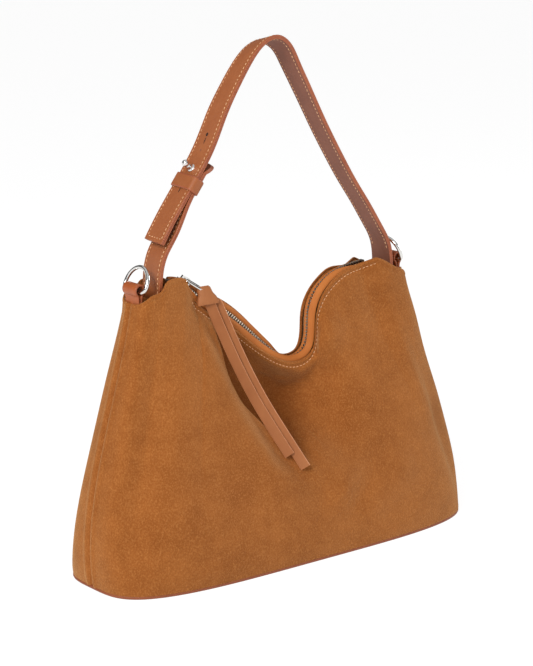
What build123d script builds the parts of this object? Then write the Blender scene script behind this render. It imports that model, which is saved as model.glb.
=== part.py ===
from build123d import *
import os
from math import cos, pi, radians, sin, sqrt, tan

import numpy as np

# A slouchy shoulder bag: two suede panels on a leather base, closed by a curved zip,
# with an adjustable leather strap and a D-ring at each shoulder.
# X runs along the bag, Y from front to back, Z up; the origin is at the middle of the base.

# ---------------------------------------------------------------- driving dimensions (mm, degrees)
BASE_LENGTH = 344.0
BASE_DEPTH = 116.0
BASE_SQUARENESS = 3.7          # exponent of the base outline: 2 is an ellipse, more is squarer
BASE_THICKNESS = 2.6
BOARD_THICKNESS = 2.0
BOARD_MARGIN = 9.0             # from the edge of the base to the edge of the stiffening board
SEAM_GAP = 0.4                 # between layers that are sewn together at an edge

SUEDE = 1.4
LINING = 0.6
LINING_GAP = 0.6
BELLY = 8.0                    # how far the panels swell past the base
END_BELLY = 11.0               # the same at the side seams
FRONT_HOLLOW = 9.0             # how far the front panel sinks below the sagging part of the zip

TOP_LENGTH = 262.0             # between the tops of the two side seams
TOP_OFFSET = -3.0              # the top leans this far along X from the middle of the base
TOP_HEIGHT = 223.0             # top of the left shoulder

STRAP_WIDTH = 25.0
STRAP_LEATHER = 1.7
STRAP_LINING = 1.3
GLUE_GAP = 0.1
STRAP_INSET = 19.0             # from each end of the top to the strap's outer face at its entry
STRAP_OFFSET = 2.0             # the strap's middle is this far along X from the top's
STRAP_RISE = 180.0             # from the right-hand entry to the top of the arch
STRAP_YAW = 7.0                # the strap's width is turned this much from Y
STRAP_GAP = 0.3                # between the two straps where they lap
ROOT_DEPTH = 26.0              # how far the strap's roots reach down inside the bag
ROOT_RADIUS = 13.2             # rounded end that turns in the root when the strap swings
ROOT_CLEARANCE = 0.5
HINGE_RISE = 5.0               # from the panel's shoulder up to the line the strap swings about

KEEPER_LENGTH = 11.0
KEEPER_WALL = 1.5
KEEPER_CLEARANCE = 0.9
KEEPER_TO_STUD = 11.4
STUD_POST_RADIUS = 1.5
STUD_HEAD_RADIUS = 2.9
STUD_COLLAR_RADIUS = 3.3
STUD_COLLAR = 1.2
STUD_HEIGHT = 9.5
STUD_CAP = 1.0
HOLE_CLEARANCE = 0.2
SPARE_HOLE_RADIUS = 1.9
SPARE_HOLE_PITCH = 29.0
STUD_SINK = 0.3                # from the strap's lining to the seat of the stud's screw
COLLAR_GAP = 0.35              # between the strap and the collar
STUD_NECK = 3.0                # how far the post reaches past the collar

RING_WIRE = 3.0
RING_HALF_WIDTH = 12.8         # to the middle of the wire
RING_HEIGHT = 17.9             # from the middle of the bar to the middle of the arc
RING_CORNER = 4.0
TAB_WIDTH = 16.0
TAB_LEATHER = 1.5
TAB_LOOP = 7.6                 # height of the loop over the ring's bar
TAB_ROOT = 18.0                # from the bar down to the ends of the tab
TAB_LEGS = 0.8                 # between the two legs of the tab
TAB_CLEARANCE = 0.5            # between the tab's loop and the ring's bar
LEFT_RING_LEAN = 24.0          # from upright, towards the strap
RIGHT_RING_LEAN = 20.0
LEFT_TAB_INSET = 3.6           # from the end of the top to the bar
RIGHT_TAB_INSET = 9.0
TAB_RISE = 9.0                 # from the top of the side seam to the bar

ZIP_HALF_WIDTH = 8.5           # from the middle of the chain to the panel's edge
ZIP_DOME = 1.6                 # the band is higher at the chain than at its edges
FACING = 1.2
CHAIN_OPENING = 4.6            # from the middle of the chain to the edge of the facing
TAPE = 0.6
TAPE_START = 2.5
TAPE_DROP = 0.1                # between a facing and the tape below it
TOOTH_PITCH = 2.5
TOOTH_LENGTH = 1.0
TOOTH_PARTING = 1.9            # how far a row stands aside where the zip is open
PARTING_RAMP = 0.012           # share of the zip's length over which the rows come together
STOP_LENGTH = 3.0
TOOTH_REACH = 1.9
TOOTH_OVERLAP = 0.5
TOOTH_HEIGHT = 2.2
SLIDER_LENGTH = 10.5
SLIDER_WIDTH = 8.4
SLIDER_PLATE = 1.1
SLIDER_PLACE = 0.070           # share of the zip's length from its closed end to the slider
THROAT_CLEARANCE = 0.90        # between the teeth and the slider's plates
BRIDGE_WIDTH = 1.8
BRIDGE_BEAM = 0.9
PULL_CLEARANCE = 0.2
PULL_LENGTH = 18.0
PULL_SWING = 55               # how far the ring lifts off the band
PULL_TURN = 18.0               # how far the pull ring lies turned to the front
PULL_WIDTH = 8.6
PULL_WIRE = 1.9
KNOT_TOP = 8.5
KNOT_BOTTOM = 14.5
KNOT_HEIGHT = 13.5
KNOT_DEPTH = 4.6
KNOT_TAPER = 0.8               # the knot's depth at its top, as a share of that at its foot
KNOT_ROOM = 0.25               # between the knot and the ring's wire
KNOT_LEAN = 6.0                # from upright, towards the right
KNOT_TILT = 20.0               # its foot stands out to the front
KNOT_OVER_RING = 2.9           # how far the knot reaches above the middle of the ring's end
KNOT_ASIDE = 2.5               # from the ring's end to the middle of the knot, along X
KNOT_FORWARD = 0.5
TAIL_WIDTH = 8.0
TAIL_LEATHER = 1.4
TAIL_GAP = 0.4
TAIL_DROP = 2.2                # from the knot's foot to the middle of a tail's end
POCKET_WIDTH = 150.0
POCKET_LEATHER = 0.8

# ---------------------------------------------------------------- shapes, as shares of the sizes above
# Middle of the zip: share of half the top's length, share of the top's height, roll towards the front.
ZIP_PATH = [
    (-0.771, 1.000, 0), (-0.656, 0.987, 14), (-0.527, 0.930, 42), (-0.344, 0.863, 56),
    (-0.153, 0.774, 52), (0.015, 0.693, 30), (0.137, 0.659, 8), (0.233, 0.675, 0),
    (0.267, 0.740, 0), (0.277, 0.816, 0), (0.344, 0.886, 0), (0.473, 0.934, 0),
    (0.603, 0.952, 0), (0.733, 0.958, 0),
]
# Edge of a panel from a side seam to the zip: share of half length, of half depth and of height.
LEFT_SHOULDER = [
    (-1.000, 0.00, 0.937), (-1.000, 0.55, 0.939), (-0.973, 0.90, 0.953), (-0.908, 1.00, 0.971),
    (-0.840, 1.00, 0.973), (-0.779, 0.93, 0.992), (-0.718, 0.82, 1.002), (-0.660, 0.72, 0.985),
]
RIGHT_SHOULDER = [
    (0.706, 0.82, 0.956), (0.786, 0.97, 0.941), (0.863, 1.00, 0.926), (0.931, 0.90, 0.914),
    (0.989, 0.55, 0.904), (1.000, 0.00, 0.901),
]
PANEL_ZIP = (0.115, 0.955)     # shares of the zip's length between which it is a panel's edge
# Outer face of the strap's arch: share of half the span, share of the rise, tilt of the width.
ARCH = [
    (-1.000, 0.222, 0), (-0.899, 0.317, 0), (-0.796, 0.403, 0), (-0.688, 0.492, 0),
    (-0.585, 0.589, 0), (-0.476, 0.722, -3), (-0.379, 0.819, -6), (-0.272, 0.911, -9),
    (-0.165, 0.975, -12), (-0.036, 1.000, -13), (0.080, 0.961, -10), (0.141, 0.903, -6),
    (0.236, 0.800, -3), (0.333, 0.694, 0), (0.431, 0.589, 0), (0.540, 0.480, 0),
    (0.660, 0.367, 0), (0.790, 0.256, 0), (0.905, 0.150, 0), (0.973, 0.078, 0),
    (0.999, 0.010, 0), (1.000, -0.120, 0),
]
# Outer face of the short strap from its root up to where it meets the long one.
SHORT_ROOT = [(-1.018, -0.100), (-1.018, 0.050), (-1.010, 0.117), (-0.989, 0.183)]
SHORT_LAP = (0.040, 0.170)     # shares of the arch's length over which the straps lap
STUD_PLACE = 0.146
LEFT_SEAM = 0.940              # heights of the shoulder patches
RIGHT_SEAM = 0.905
# Route of the lace tails below the knot: along the tail, and out to the front.
TAIL_ROUTE = [(0.0, 10.9), (31.0, 14.8), (64.0, 21.5), (92.0, 29.8), (126.0, 42.0)]
TAIL_REAR_EXTRA = 14.0
TAIL_ASIDE = 3.2               # from the middle of the knot's foot to the front tail
TAIL_REAR_ASIDE = 3.0          # from the front tail to the rear one
TAIL_LEAN = 23.6

# ---------------------------------------------------------------- sizes that follow
LAYERS = SUEDE + LINING_GAP + LINING
BRIDGE_RISE = PULL_WIRE + BRIDGE_BEAM / 2 + 2 * PULL_CLEARANCE
TOP_DEPTH = STRAP_WIDTH + 2 * (LAYERS + ROOT_CLEARANCE)
STRAP_THICKNESS = STRAP_LEATHER + GLUE_GAP + STRAP_LINING
STRAP_SPAN = TOP_LENGTH - 2 * STRAP_INSET
STRAP_MIDDLE = TOP_OFFSET + STRAP_OFFSET
RIGHT_ENTRY = TOP_HEIGHT * 0.955
TAPE_END = ZIP_HALF_WIDTH - LAYERS - TAPE_DROP - SEAM_GAP / 2

Y_AXIS = np.array([0.0, 1.0, 0.0])
Z_AXIS = np.array([0.0, 0.0, 1.0])
PARTS = {}


# ---------------------------------------------------------------- helpers
def smooth(points, shares):
    """A natural cubic spline through points, at the given shares of its chord length."""
    p = np.asarray(points, float)
    chord = np.linalg.norm(np.diff(p[:, :3], axis=0), axis=1)
    knot = np.concatenate([[0.0], np.cumsum(chord)]) / chord.sum()
    step = np.diff(knot)
    count = len(p)
    system = np.zeros((count, count))
    right = np.zeros(p.shape)
    system[0, 0] = system[-1, -1] = 1.0
    for i in range(1, count - 1):
        system[i, i - 1:i + 2] = step[i - 1], 2 * (step[i - 1] + step[i]), step[i]
        right[i] = 6 * ((p[i + 1] - p[i]) / step[i] - (p[i] - p[i - 1]) / step[i - 1])
    bend = np.linalg.solve(system, right)
    t = np.clip(np.asarray(shares, float), 0, 1)
    i = np.clip(np.searchsorted(knot, t, side="right") - 1, 0, count - 2)
    a = (knot[i + 1] - t)[:, None]
    b = (t - knot[i])[:, None]
    h = step[i][:, None]
    curve = (bend[i] * a**3 + bend[i + 1] * b**3) / (6 * h)
    return curve + (p[i] / h - bend[i] * h / 6) * a + (p[i + 1] / h - bend[i + 1] * h / 6) * b


def spread(points, shares):
    """Points at the given shares of a polyline's length."""
    chord = np.linalg.norm(np.diff(points, axis=0), axis=1)
    knot = np.concatenate([[0.0], np.cumsum(chord)]) / chord.sum()
    return np.stack([np.interp(shares, knot, points[:, i]) for i in range(3)], 1)


def unit(vectors):
    return vectors / np.linalg.norm(vectors, axis=-1)[..., None]


def sunk(grid, depth):
    """The grid moved along its own normals, away from its outer side."""
    normal = unit(np.cross(np.gradient(grid, axis=0), np.gradient(grid, axis=1)))
    return grid - normal * depth


def grid_face(grid):
    rows = [[Vector(*point) for point in row] for row in grid]
    return Face.make_surface_from_array_of_points(rows, tol=0.03, min_deg=3, max_deg=3)


def slab(grid, thickness, depth=0.0):
    """A closed sheet of the given thickness whose outer face lies under a grid of points."""
    outer = grid_face(sunk(grid, depth))
    inner = grid_face(sunk(grid, depth + thickness))
    faces = [outer, inner]
    for edge in outer.edges():
        middle = edge.center()
        partner = min(inner.edges(), key=lambda other: (other.center() - middle).length)
        faces.append(Face.make_surface_from_curves(edge, partner))
    return Solid(Shell(faces))


def keep(node, shape):
    PARTS[node] = shape


# ---------------------------------------------------------------- outline of the body
def top_points(shares, side):
    p = np.asarray(shares, float)
    x = TOP_OFFSET + p[:, 0] * TOP_LENGTH / 2
    return np.stack([x, side * p[:, 1] * TOP_DEPTH / 2, p[:, 2] * TOP_HEIGHT], 1)


def zip_frame(shares):
    """Middle of the chain, direction of the zip, across it to the rear, and up from it."""
    path = [(TOP_OFFSET + x * TOP_LENGTH / 2, 0.0, z * TOP_HEIGHT, roll) for x, z, roll in ZIP_PATH]
    shares = np.asarray(shares, float)
    here = smooth(path, shares)
    ahead = smooth(path, shares + 1e-3) - smooth(path, shares - 1e-3)
    along = unit(ahead[:, :3])
    level_up = np.stack([-along[:, 2], 0 * along[:, 0], along[:, 0]], 1)
    roll = np.radians(here[:, 3])[:, None]
    across = np.cos(roll) * Y_AXIS + np.sin(roll) * level_up
    up = -np.sin(roll) * Y_AXIS + np.cos(roll) * level_up
    return here[:, :3], along, across, up


def zip_point(shares, width, height=0.0):
    """Points on the zip's band: width across it, rear positive, and height above its skin."""
    middle, _, across, up = zip_frame(shares)
    return middle + across * width + up * (height - ZIP_DOME * (width / ZIP_HALF_WIDTH) ** 2)


def top_edge(side):
    """The upper edge of a panel: side -1 is the front, +1 the back."""
    left = top_points(LEFT_SHOULDER, side)
    right = top_points(RIGHT_SHOULDER, side)
    edge = side * (ZIP_HALF_WIDTH + SEAM_GAP)
    zip_run = zip_point(np.linspace(*PANEL_ZIP, 56), edge, -FACING - SUEDE)
    return np.vstack([left, zip_run, right])


def base_outline(side, margin=0.0, count=400):
    """Half of the base's outline, from the left side seam to the right one."""
    angle = np.linspace(0, pi, count)
    x = -(BASE_LENGTH / 2 - margin) * np.sign(np.cos(angle)) * abs(np.cos(angle)) ** (2 / BASE_SQUARENESS)
    y = side * (BASE_DEPTH / 2 - margin) * abs(np.sin(angle)) ** (2 / BASE_SQUARENESS)
    return np.stack([x, y, 0 * x], 1)


def panel_grid(side, across=61, up=17):
    """Outer skin of a panel: across from the left seam to the right, up from the base to the top."""
    u = np.linspace(0, 1, across)
    v = np.linspace(0, 1, up)[None, :, None]
    top = spread(top_edge(side), u)
    foot = spread(base_outline(side), u) + Z_AXIS * (BASE_THICKNESS + SEAM_GAP)
    along = np.gradient(foot, axis=0)
    outward = side * unit(np.stack([-along[:, 1], along[:, 0], 0 * along[:, 0]], 1))
    rise = (top[:, 2] - foot[:, 2])[:, None] * Z_AXIS
    flank = (1 - np.clip(np.minimum(u, 1 - u) / 0.12, 0, 1))[:, None]
    low = foot + outward * (BELLY * (1 - flank) + END_BELLY * flank) + rise * 0.30
    level = (foot - top) * [1.0, 1.0, 0.0]
    high = top - rise * 0.33 + level * (0.34 * flank + 0.28 * (1 - flank))
    foot, low, high, top = (row[:, None, :] for row in (foot, low, high, top))
    skin = (1 - v) ** 3 * foot + 3 * (1 - v) ** 2 * v * low + 3 * (1 - v) * v**2 * high + v**3 * top
    if side < 0:
        uu = u[:, None]
        hollow = np.exp(-(((uu - 0.47) / 0.13) ** 2) - ((v[:, :, 0] - 0.76) / 0.16) ** 2)
        hollow = hollow * (1 - v[:, :, 0]) / 0.24
        skin = skin + hollow[:, :, None] * FRONT_HOLLOW * Y_AXIS
    return skin + side * SEAM_GAP * Y_AXIS


FRONT = panel_grid(-1)
BACK = panel_grid(1)[::-1]     # turned round, so that its outer side faces back


# ---------------------------------------------------------------- body
def body():
    keep("front_panel", slab(FRONT, SUEDE))
    keep("back_panel", slab(BACK, SUEDE))
    keep("lining_front", slab(FRONT[2:-2, 1:-1], LINING, SUEDE + LINING_GAP))
    keep("lining_back", slab(BACK[2:-2, 1:-1], LINING, SUEDE + LINING_GAP))

    def plate(margin, thickness, level):
        front = base_outline(-1, margin, 61)
        back = base_outline(1, margin, 61)[::-1]
        loop = [Vector(*point) for point in np.vstack([front, back[1:-1]])]
        face = make_face(Spline(*loop, periodic=True))
        return Pos(0, 0, level) * extrude(face, thickness)

    keep("base_panel", plate(0.0, BASE_THICKNESS, 0.0))
    board_level = BASE_THICKNESS + SEAM_GAP
    keep("base_board", plate(BOARD_MARGIN, BOARD_THICKNESS, board_level))
    keep("lining_base", plate(BOARD_MARGIN, LINING, board_level + BOARD_THICKNESS + SEAM_GAP / 2))

    pocket_depth = LAYERS + SEAM_GAP
    middle = len(BACK) // 2
    reach = int(POCKET_WIDTH / BASE_LENGTH * 0.42 * len(BACK))
    keep("inner_pocket", slab(BACK[middle - reach:middle + reach + 1, 5:10], POCKET_LEATHER, pocket_depth))


def in_order(x, y):
    rank = np.argsort(x)
    return x[rank], y[rank]


def shoulder_closures():
    """Leather patches that close the top beside each strap root, with a slot for the ring's tab."""
    turned = STRAP_WIDTH / 2 * sin(radians(STRAP_YAW)) + 2 * SEAM_GAP
    inset = SUEDE + 2 * SEAM_GAP
    left_tab = TOP_OFFSET - TOP_LENGTH / 2 + LEFT_TAB_INSET
    right_tab = TOP_OFFSET + TOP_LENGTH / 2 - RIGHT_TAB_INSET
    patches = [
        ("left", LEFT_SHOULDER, LEFT_ROOT[0] - turned, left_tab, LEFT_SEAM),
        ("right", RIGHT_SHOULDER[::-1], RIGHT_ROOT[0] + turned, right_tab, RIGHT_SEAM),
    ]
    for name, shoulder, strap, tab, seam in patches:
        outline = top_points(shoulder, 1)
        toward = 1 if strap > outline[0][0] else -1
        x = outline[1:, 0].copy()
        x[0] += toward * inset
        y = outline[1:, 1] - inset
        inside = (strap - x) * toward > 0
        corners = list(zip(x[inside], y[inside])) + [(strap, np.interp(strap, *in_order(x, y)))]
        loop = corners + [(px, -py) for px, py in corners[::-1]]
        patch = extrude(make_face(Polyline(*loop, close=True)), SUEDE)
        slot_length = 2 * (TAB_LEATHER + TAB_LEGS)
        slot = Pos(tab, 0, 0) * Box(slot_length, TAB_WIDTH + TAB_LEGS, 3 * SUEDE)
        keep(f"top_gusset_{name}", Pos(0, 0, seam * TOP_HEIGHT) * (patch - slot))


# ---------------------------------------------------------------- zip
def parting(share):
    """How far each row of teeth stands aside, beyond the slider."""
    return TOOTH_PARTING * np.clip((SLIDER_PLACE - share) / PARTING_RAMP, 0, 1)


def strip(start, end, inner, outer, height, count):
    """A strip of the band between two widths, which may change along it."""
    shares = np.linspace(start, end, count)
    middle, _, across, up = zip_frame(shares)
    inner, outer = inner + 0 * shares, outer + 0 * shares
    rows = []
    for blend in np.linspace(0, 1, 5):
        width = (inner + (outer - inner) * blend)[:, None]
        rows.append(middle + across * width + up * (height - ZIP_DOME * (width / ZIP_HALF_WIDTH) ** 2))
    rows = rows if (outer - inner)[0] > 0 else rows[::-1]
    return np.stack(rows, 1)


def zip_parts():
    for name, side in (("front", -1), ("back", 1)):
        facing = strip(0.03, 0.975, side * CHAIN_OPENING, side * ZIP_HALF_WIDTH, 0.0, 61)
        keep(f"zip_facing_{name}", slab(facing, FACING))
        open_by = parting(np.linspace(0.02, 0.985, 161))
        tape = strip(0.02, 0.985, side * (TAPE_START + open_by), side * TAPE_END, -FACING - TAPE_DROP, 161)
        keep(f"zip_tape_{name}", slab(tape, TAPE))

        path = zip_point(np.linspace(0, 1, 400), 0)
        length = np.linalg.norm(np.diff(path, axis=0), axis=1).sum()
        teeth = []
        shift = 0.0 if side < 0 else TOOTH_PITCH / 2
        place = 0.035 * length + shift
        while place < 0.965 * length:
            share = place / length
            aside = float(parting(share))
            root = side * (TOOTH_REACH + aside)
            tip = side * (aside - TOOTH_OVERLAP)
            centre = zip_point([share], (root + tip) / 2, -FACING - TAPE / 2)[0]
            _, along, _, up = (v[0] for v in zip_frame([share]))
            tooth = Box(TOOTH_LENGTH, TOOTH_REACH + TOOTH_OVERLAP, TOOTH_HEIGHT)
            teeth.append(Plane(Vector(*centre), Vector(*along), Vector(*up)) * tooth)
            place += TOOTH_PITCH
        keep(f"zip_teeth_{name}", Compound(teeth))

    for node, share in (("zip_top_stop", 0.022), ("zip_bottom_stop", 0.978)):
        middle, along, _, up = (v[0] for v in zip_frame([share]))
        stop = Box(STOP_LENGTH, 2 * (TAPE_START + parting(share) - SEAM_GAP), TOOTH_HEIGHT)
        keep(node, Plane(Vector(*middle - up * (FACING + TAPE / 2)), Vector(*along), Vector(*up)) * stop)


def slider_plane():
    middle, along, _, up = (v[0] for v in zip_frame([SLIDER_PLACE]))
    return Plane(Vector(*middle - up * (FACING + TAPE / 2)), Vector(*along), Vector(*up))


def slider_parts():
    """The slider wraps the chain; its pull ring lies along the band and carries the lace."""
    place = slider_plane()
    gap = TOOTH_HEIGHT / 2 + THROAT_CLEARANCE
    top_plate = Box(SLIDER_LENGTH, SLIDER_WIDTH, SLIDER_PLATE)
    top_plate = fillet(top_plate.edges().filter_by(Axis.Z), SLIDER_WIDTH * 0.3)
    low_plate = Box(SLIDER_LENGTH * 0.92, SLIDER_WIDTH * 0.82, SLIDER_PLATE)
    low_plate = fillet(low_plate.edges().filter_by(Axis.Z), SLIDER_WIDTH * 0.25)
    diamond = Pos(-SLIDER_LENGTH * 0.40, 0, 0) * Cylinder(0.8, 2 * gap + 0.4)
    top_level = gap + SLIDER_PLATE / 2
    slider = Pos(0, 0, top_level) * top_plate + Pos(0, 0, -top_level) * low_plate + diamond
    bridge_span = SLIDER_LENGTH * 0.72
    bridge_top = gap + SLIDER_PLATE + BRIDGE_RISE
    foot = Box(BRIDGE_WIDTH * 0.8, BRIDGE_WIDTH, BRIDGE_RISE + 0.6)
    for end in (-1, 1):
        reach = end * (bridge_span - BRIDGE_WIDTH * 0.8) / 2
        slider += Pos(reach, 0, gap + SLIDER_PLATE + BRIDGE_RISE / 2 - 0.3) * foot
    beam = Box(bridge_span, BRIDGE_WIDTH, BRIDGE_BEAM)
    slider += Pos(0, 0, bridge_top) * beam
    keep("zip_slider", place * slider)

    wire = PULL_WIRE / 2
    eye = slider_eye()
    straight = PULL_LENGTH - PULL_WIDTH
    half = (PULL_WIDTH - PULL_WIRE) / 2
    ring_path = Wire([
        Edge.make_line((0, half, 0), (straight, half, 0)),
        Edge.make_three_point_arc((straight, half, 0), (straight + half, 0, 0), (straight, -half, 0)),
        Edge.make_line((straight, -half, 0), (0, -half, 0)),
        Edge.make_three_point_arc((0, -half, 0), (-half, 0, 0), (0, half, 0)),
    ])
    ring = sweep(section_circle(straight, half, wire), path=ring_path)
    ring_place = place * Rot(0, 0, -PULL_TURN) * Pos(half, 0, eye)
    keep("zip_pull_ring", ring_place * ring)

    top = Plane(origin=(0, 0, 0), x_dir=(0, 1, 0), z_dir=(1, 0, 0))
    bottom = Plane(origin=(KNOT_HEIGHT, 0, 0), x_dir=(0, 1, 0), z_dir=(1, 0, 0))
    knot = loft([top * Rectangle(KNOT_DEPTH * KNOT_TAPER, KNOT_TOP), bottom * Rectangle(KNOT_DEPTH, KNOT_BOTTOM)])
    keep("pull_knot", knot_plane() * knot - ring_room(half + wire))


def ring_room(reach):
    """Room in the knot for the ring's wire, from lying on the band to lifted off it."""
    lying = slider_plane() * Rot(0, 0, -PULL_TURN) * Pos(PULL_LENGTH - PULL_WIRE, 0, slider_eye())
    hinge = lying * Rot(-90, 0, 180)
    width = PULL_WIRE / 2 + KNOT_ROOM
    lifted = radians(-PULL_SWING)
    side = (width * sin(lifted), -width * cos(lifted))
    corners = [
        side,
        (side[0] + PULL_LENGTH * cos(lifted), side[1] + PULL_LENGTH * sin(lifted)),
        (2 * PULL_LENGTH * cos(lifted / 2), 2 * PULL_LENGTH * sin(lifted / 2)),
        (PULL_LENGTH, width),
        (0.0, width),
    ]
    wedge = make_face(Polyline(*corners, close=True)) + Circle(width)
    return hinge * extrude(wedge, reach + KNOT_ROOM, both=True)


def section_circle(straight, half, radius):
    return Plane(origin=(straight / 2, half, 0), z_dir=(1, 0, 0)) * Circle(radius)


def slider_eye():
    """Height of the pull ring's wire above the middle of the chain."""
    return TOOTH_HEIGHT / 2 + THROAT_CLEARANCE + SLIDER_PLATE + PULL_CLEARANCE + PULL_WIRE / 2


def ring_end():
    """Middle of the wire at the pull ring's far end."""
    turned = slider_plane() * Rot(0, 0, -PULL_TURN)
    return (turned * Pos(PULL_LENGTH - PULL_WIRE, 0, slider_eye())).position


def hanging_plane(origin, lean_degrees, tilt_degrees=0.0):
    """Local X runs down the lace, local Y points to the back, local Z across it."""
    lean, tilt = radians(lean_degrees), radians(tilt_degrees)
    down = Vector(sin(lean) * cos(tilt), -sin(tilt), -cos(lean) * cos(tilt))
    across = Vector(cos(lean), 0, sin(lean))
    return Plane(origin, down, across)


def knot_plane():
    top = ring_end() + Vector(KNOT_ASIDE, -KNOT_FORWARD, KNOT_OVER_RING)
    return hanging_plane(top, KNOT_LEAN, KNOT_TILT)


def tails():
    knot_foot = (knot_plane() * Pos(KNOT_HEIGHT + TAIL_DROP, 0, TAIL_ASIDE)).position
    start = hanging_plane(knot_foot, TAIL_LEAN)

    def tail(extra, behind, aside):
        route = [(down, -out - knot_foot.Y + behind) for down, out in TAIL_ROUTE]
        last, before = np.array(route[-1]), np.array(route[-2])
        route[-1] = tuple(last + (last - before) / np.linalg.norm(last - before) * extra)
        runs = [np.linalg.norm(np.subtract(b, a)) for a, b in zip(route, route[1:])]
        radii = []
        for i in range(1, len(route) - 1):
            one = Vector(*np.subtract(route[i], route[i - 1]))
            two = Vector(*np.subtract(route[i + 1], route[i]))
            turn = radians(one.get_angle(two))
            radii.append(0.45 * min(runs[i - 1], runs[i]) / tan(turn / 2))
        print("tail radii", [round(r, 1) for r in radii], "length", round(sum(runs), 1))
        line = FilletPolyline(*route, radius=radii)
        ribbon = extrude(trace(line, TAIL_LEATHER), TAIL_WIDTH / 2, both=True)
        share = ribbon.volume / (TAIL_LEATHER * TAIL_WIDTH * line.length)
        print("tail volume over section times length", round(share, 3))
        return start * Pos(0, 0, aside) * ribbon

    keep("pull_tail_front", tail(0.0, 0.0, 0.0))
    keep("pull_tail_back", tail(TAIL_REAR_EXTRA, TAIL_LEATHER + TAIL_GAP, TAIL_REAR_ASIDE))


# ---------------------------------------------------------------- strap
def strap_point(sx, sz):
    return np.array([STRAP_MIDDLE + sx * STRAP_SPAN / 2, 0.0, RIGHT_ENTRY + sz * STRAP_RISE])


def arch_frame(shares, depth=0.0):
    """Points of the arch below its outer face by depth, with directions along, across and out."""
    path = [(*strap_point(x, z), tilt) for x, z, tilt in ARCH]
    shares = np.asarray(shares, float)
    here = smooth(path, shares)
    along = unit((smooth(path, shares + 1e-3) - smooth(path, shares - 1e-3))[:, :3])
    out = np.stack([-along[:, 2], 0 * along[:, 0], along[:, 0]], 1)
    yaw = radians(STRAP_YAW)
    flat = np.array([sin(yaw), cos(yaw), 0.0])
    tilt = np.radians(here[:, 3])[:, None]
    across = unit(flat * np.cos(tilt) + Z_AXIS * np.sin(tilt))
    return here[:, :3] - out * depth, along, across, out


def arch_length():
    path = arch_frame(np.linspace(0, 1, 600))[0]
    return np.linalg.norm(np.diff(path, axis=0), axis=1).sum()


def ribbon_grid(middle, across, width, count=7):
    offsets = np.linspace(-width / 2, width / 2, count)
    return middle[:, None, :] + across[:, None, :] * offsets[None, :, None]


def long_strap_grid(depth, count=90):
    """From its square end, over the arch, to the rounded end in the right-hand root."""
    offsets = np.linspace(-STRAP_WIDTH / 2, STRAP_WIDTH / 2, 9)
    length = arch_length()
    hinge = hinge_share_right()
    columns = []
    for offset in offsets:
        end = hinge + sqrt(ROOT_RADIUS**2 - offset**2) / length
        middle, along, across, out = arch_frame(np.linspace(0, end, count), depth)
        columns.append(middle + across * offset)
    return np.stack(columns, 1)


def hinge_share_right():
    shares = np.linspace(0.8, 1, 400)
    heights = arch_frame(shares)[0][:, 2]
    return float(np.interp(-RIGHT_HINGE, -heights, shares))


def short_path(depth):
    """Middle line of the short strap below its outer face by depth, from its root to its tip."""
    root = [strap_point(x, z) for x, z in SHORT_ROOT]
    lap = arch_frame(np.linspace(*SHORT_LAP, 12), STRAP_THICKNESS + STRAP_GAP)[0]
    path = np.vstack([root, lap])
    shares = np.linspace(0, 1, 200)
    line = smooth(path, shares)
    along = unit(np.gradient(line, axis=0))
    out = np.stack([-along[:, 2], 0 * along[:, 0], along[:, 0]], 1)
    return line - out * depth


def short_grid(depth, count=60):
    yaw = radians(STRAP_YAW)
    across = np.array([sin(yaw), cos(yaw), 0.0])
    path = short_path(depth)
    chord = np.linalg.norm(np.diff(path, axis=0), axis=1)
    travelled = np.concatenate([[0.0], np.cumsum(chord)])
    hinge = float(np.interp(LEFT_HINGE, path[:100, 2], travelled[:100]))
    tip_radius = STRAP_WIDTH * 0.52
    columns = []
    for offset in np.linspace(-STRAP_WIDTH / 2, STRAP_WIDTH / 2, 9):
        start = hinge - sqrt(ROOT_RADIUS**2 - offset**2)
        end = travelled[-1] - tip_radius + sqrt(tip_radius**2 - offset**2)
        where = np.linspace(start, end, count)
        middle = np.stack([np.interp(where, travelled, path[:, i]) for i in range(3)], 1)
        columns.append(middle + across * offset)
    return np.stack(columns, 1)


def root_solid(outer_line, hinge_height, side):
    """The sewn-in end of the strap, with a round seat for the part that swings."""
    yaw = radians(STRAP_YAW)
    across = np.array([sin(yaw), cos(yaw), 0.0])
    columns = []
    for offset in np.linspace(-STRAP_WIDTH / 2, STRAP_WIDTH / 2, 9):
        start = hinge_height - sqrt((ROOT_RADIUS + ROOT_CLEARANCE) ** 2 - offset**2)
        heights = np.linspace(start, hinge_height - ROOT_RADIUS - ROOT_DEPTH * 0.5, 8)
        column = np.stack([np.full(8, outer_line), np.zeros(8), heights], 1)
        columns.append(column + across * offset)
    grid = np.stack(columns, 1)
    if side < 0:
        grid = grid[:, ::-1]
    return slab(grid, STRAP_THICKNESS)


LEFT_HINGE = TOP_HEIGHT * 0.973 + HINGE_RISE
RIGHT_HINGE = TOP_HEIGHT * 0.926 + HINGE_RISE
LEFT_ROOT = strap_point(SHORT_ROOT[0][0], 0.0)
RIGHT_ROOT = strap_point(ARCH[-1][0], 0.0)


def strap_plane(share, depth=0.0):
    """Local X runs up the strap, local Y across it, local Z out of its outer face."""
    place, along, across, out = (v[0] for v in arch_frame([share], depth))
    normal = unit(np.cross(along, across))
    if normal @ out < 0:
        normal = -normal
    return Plane(Vector(*place), Vector(*along), Vector(*normal))


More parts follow.
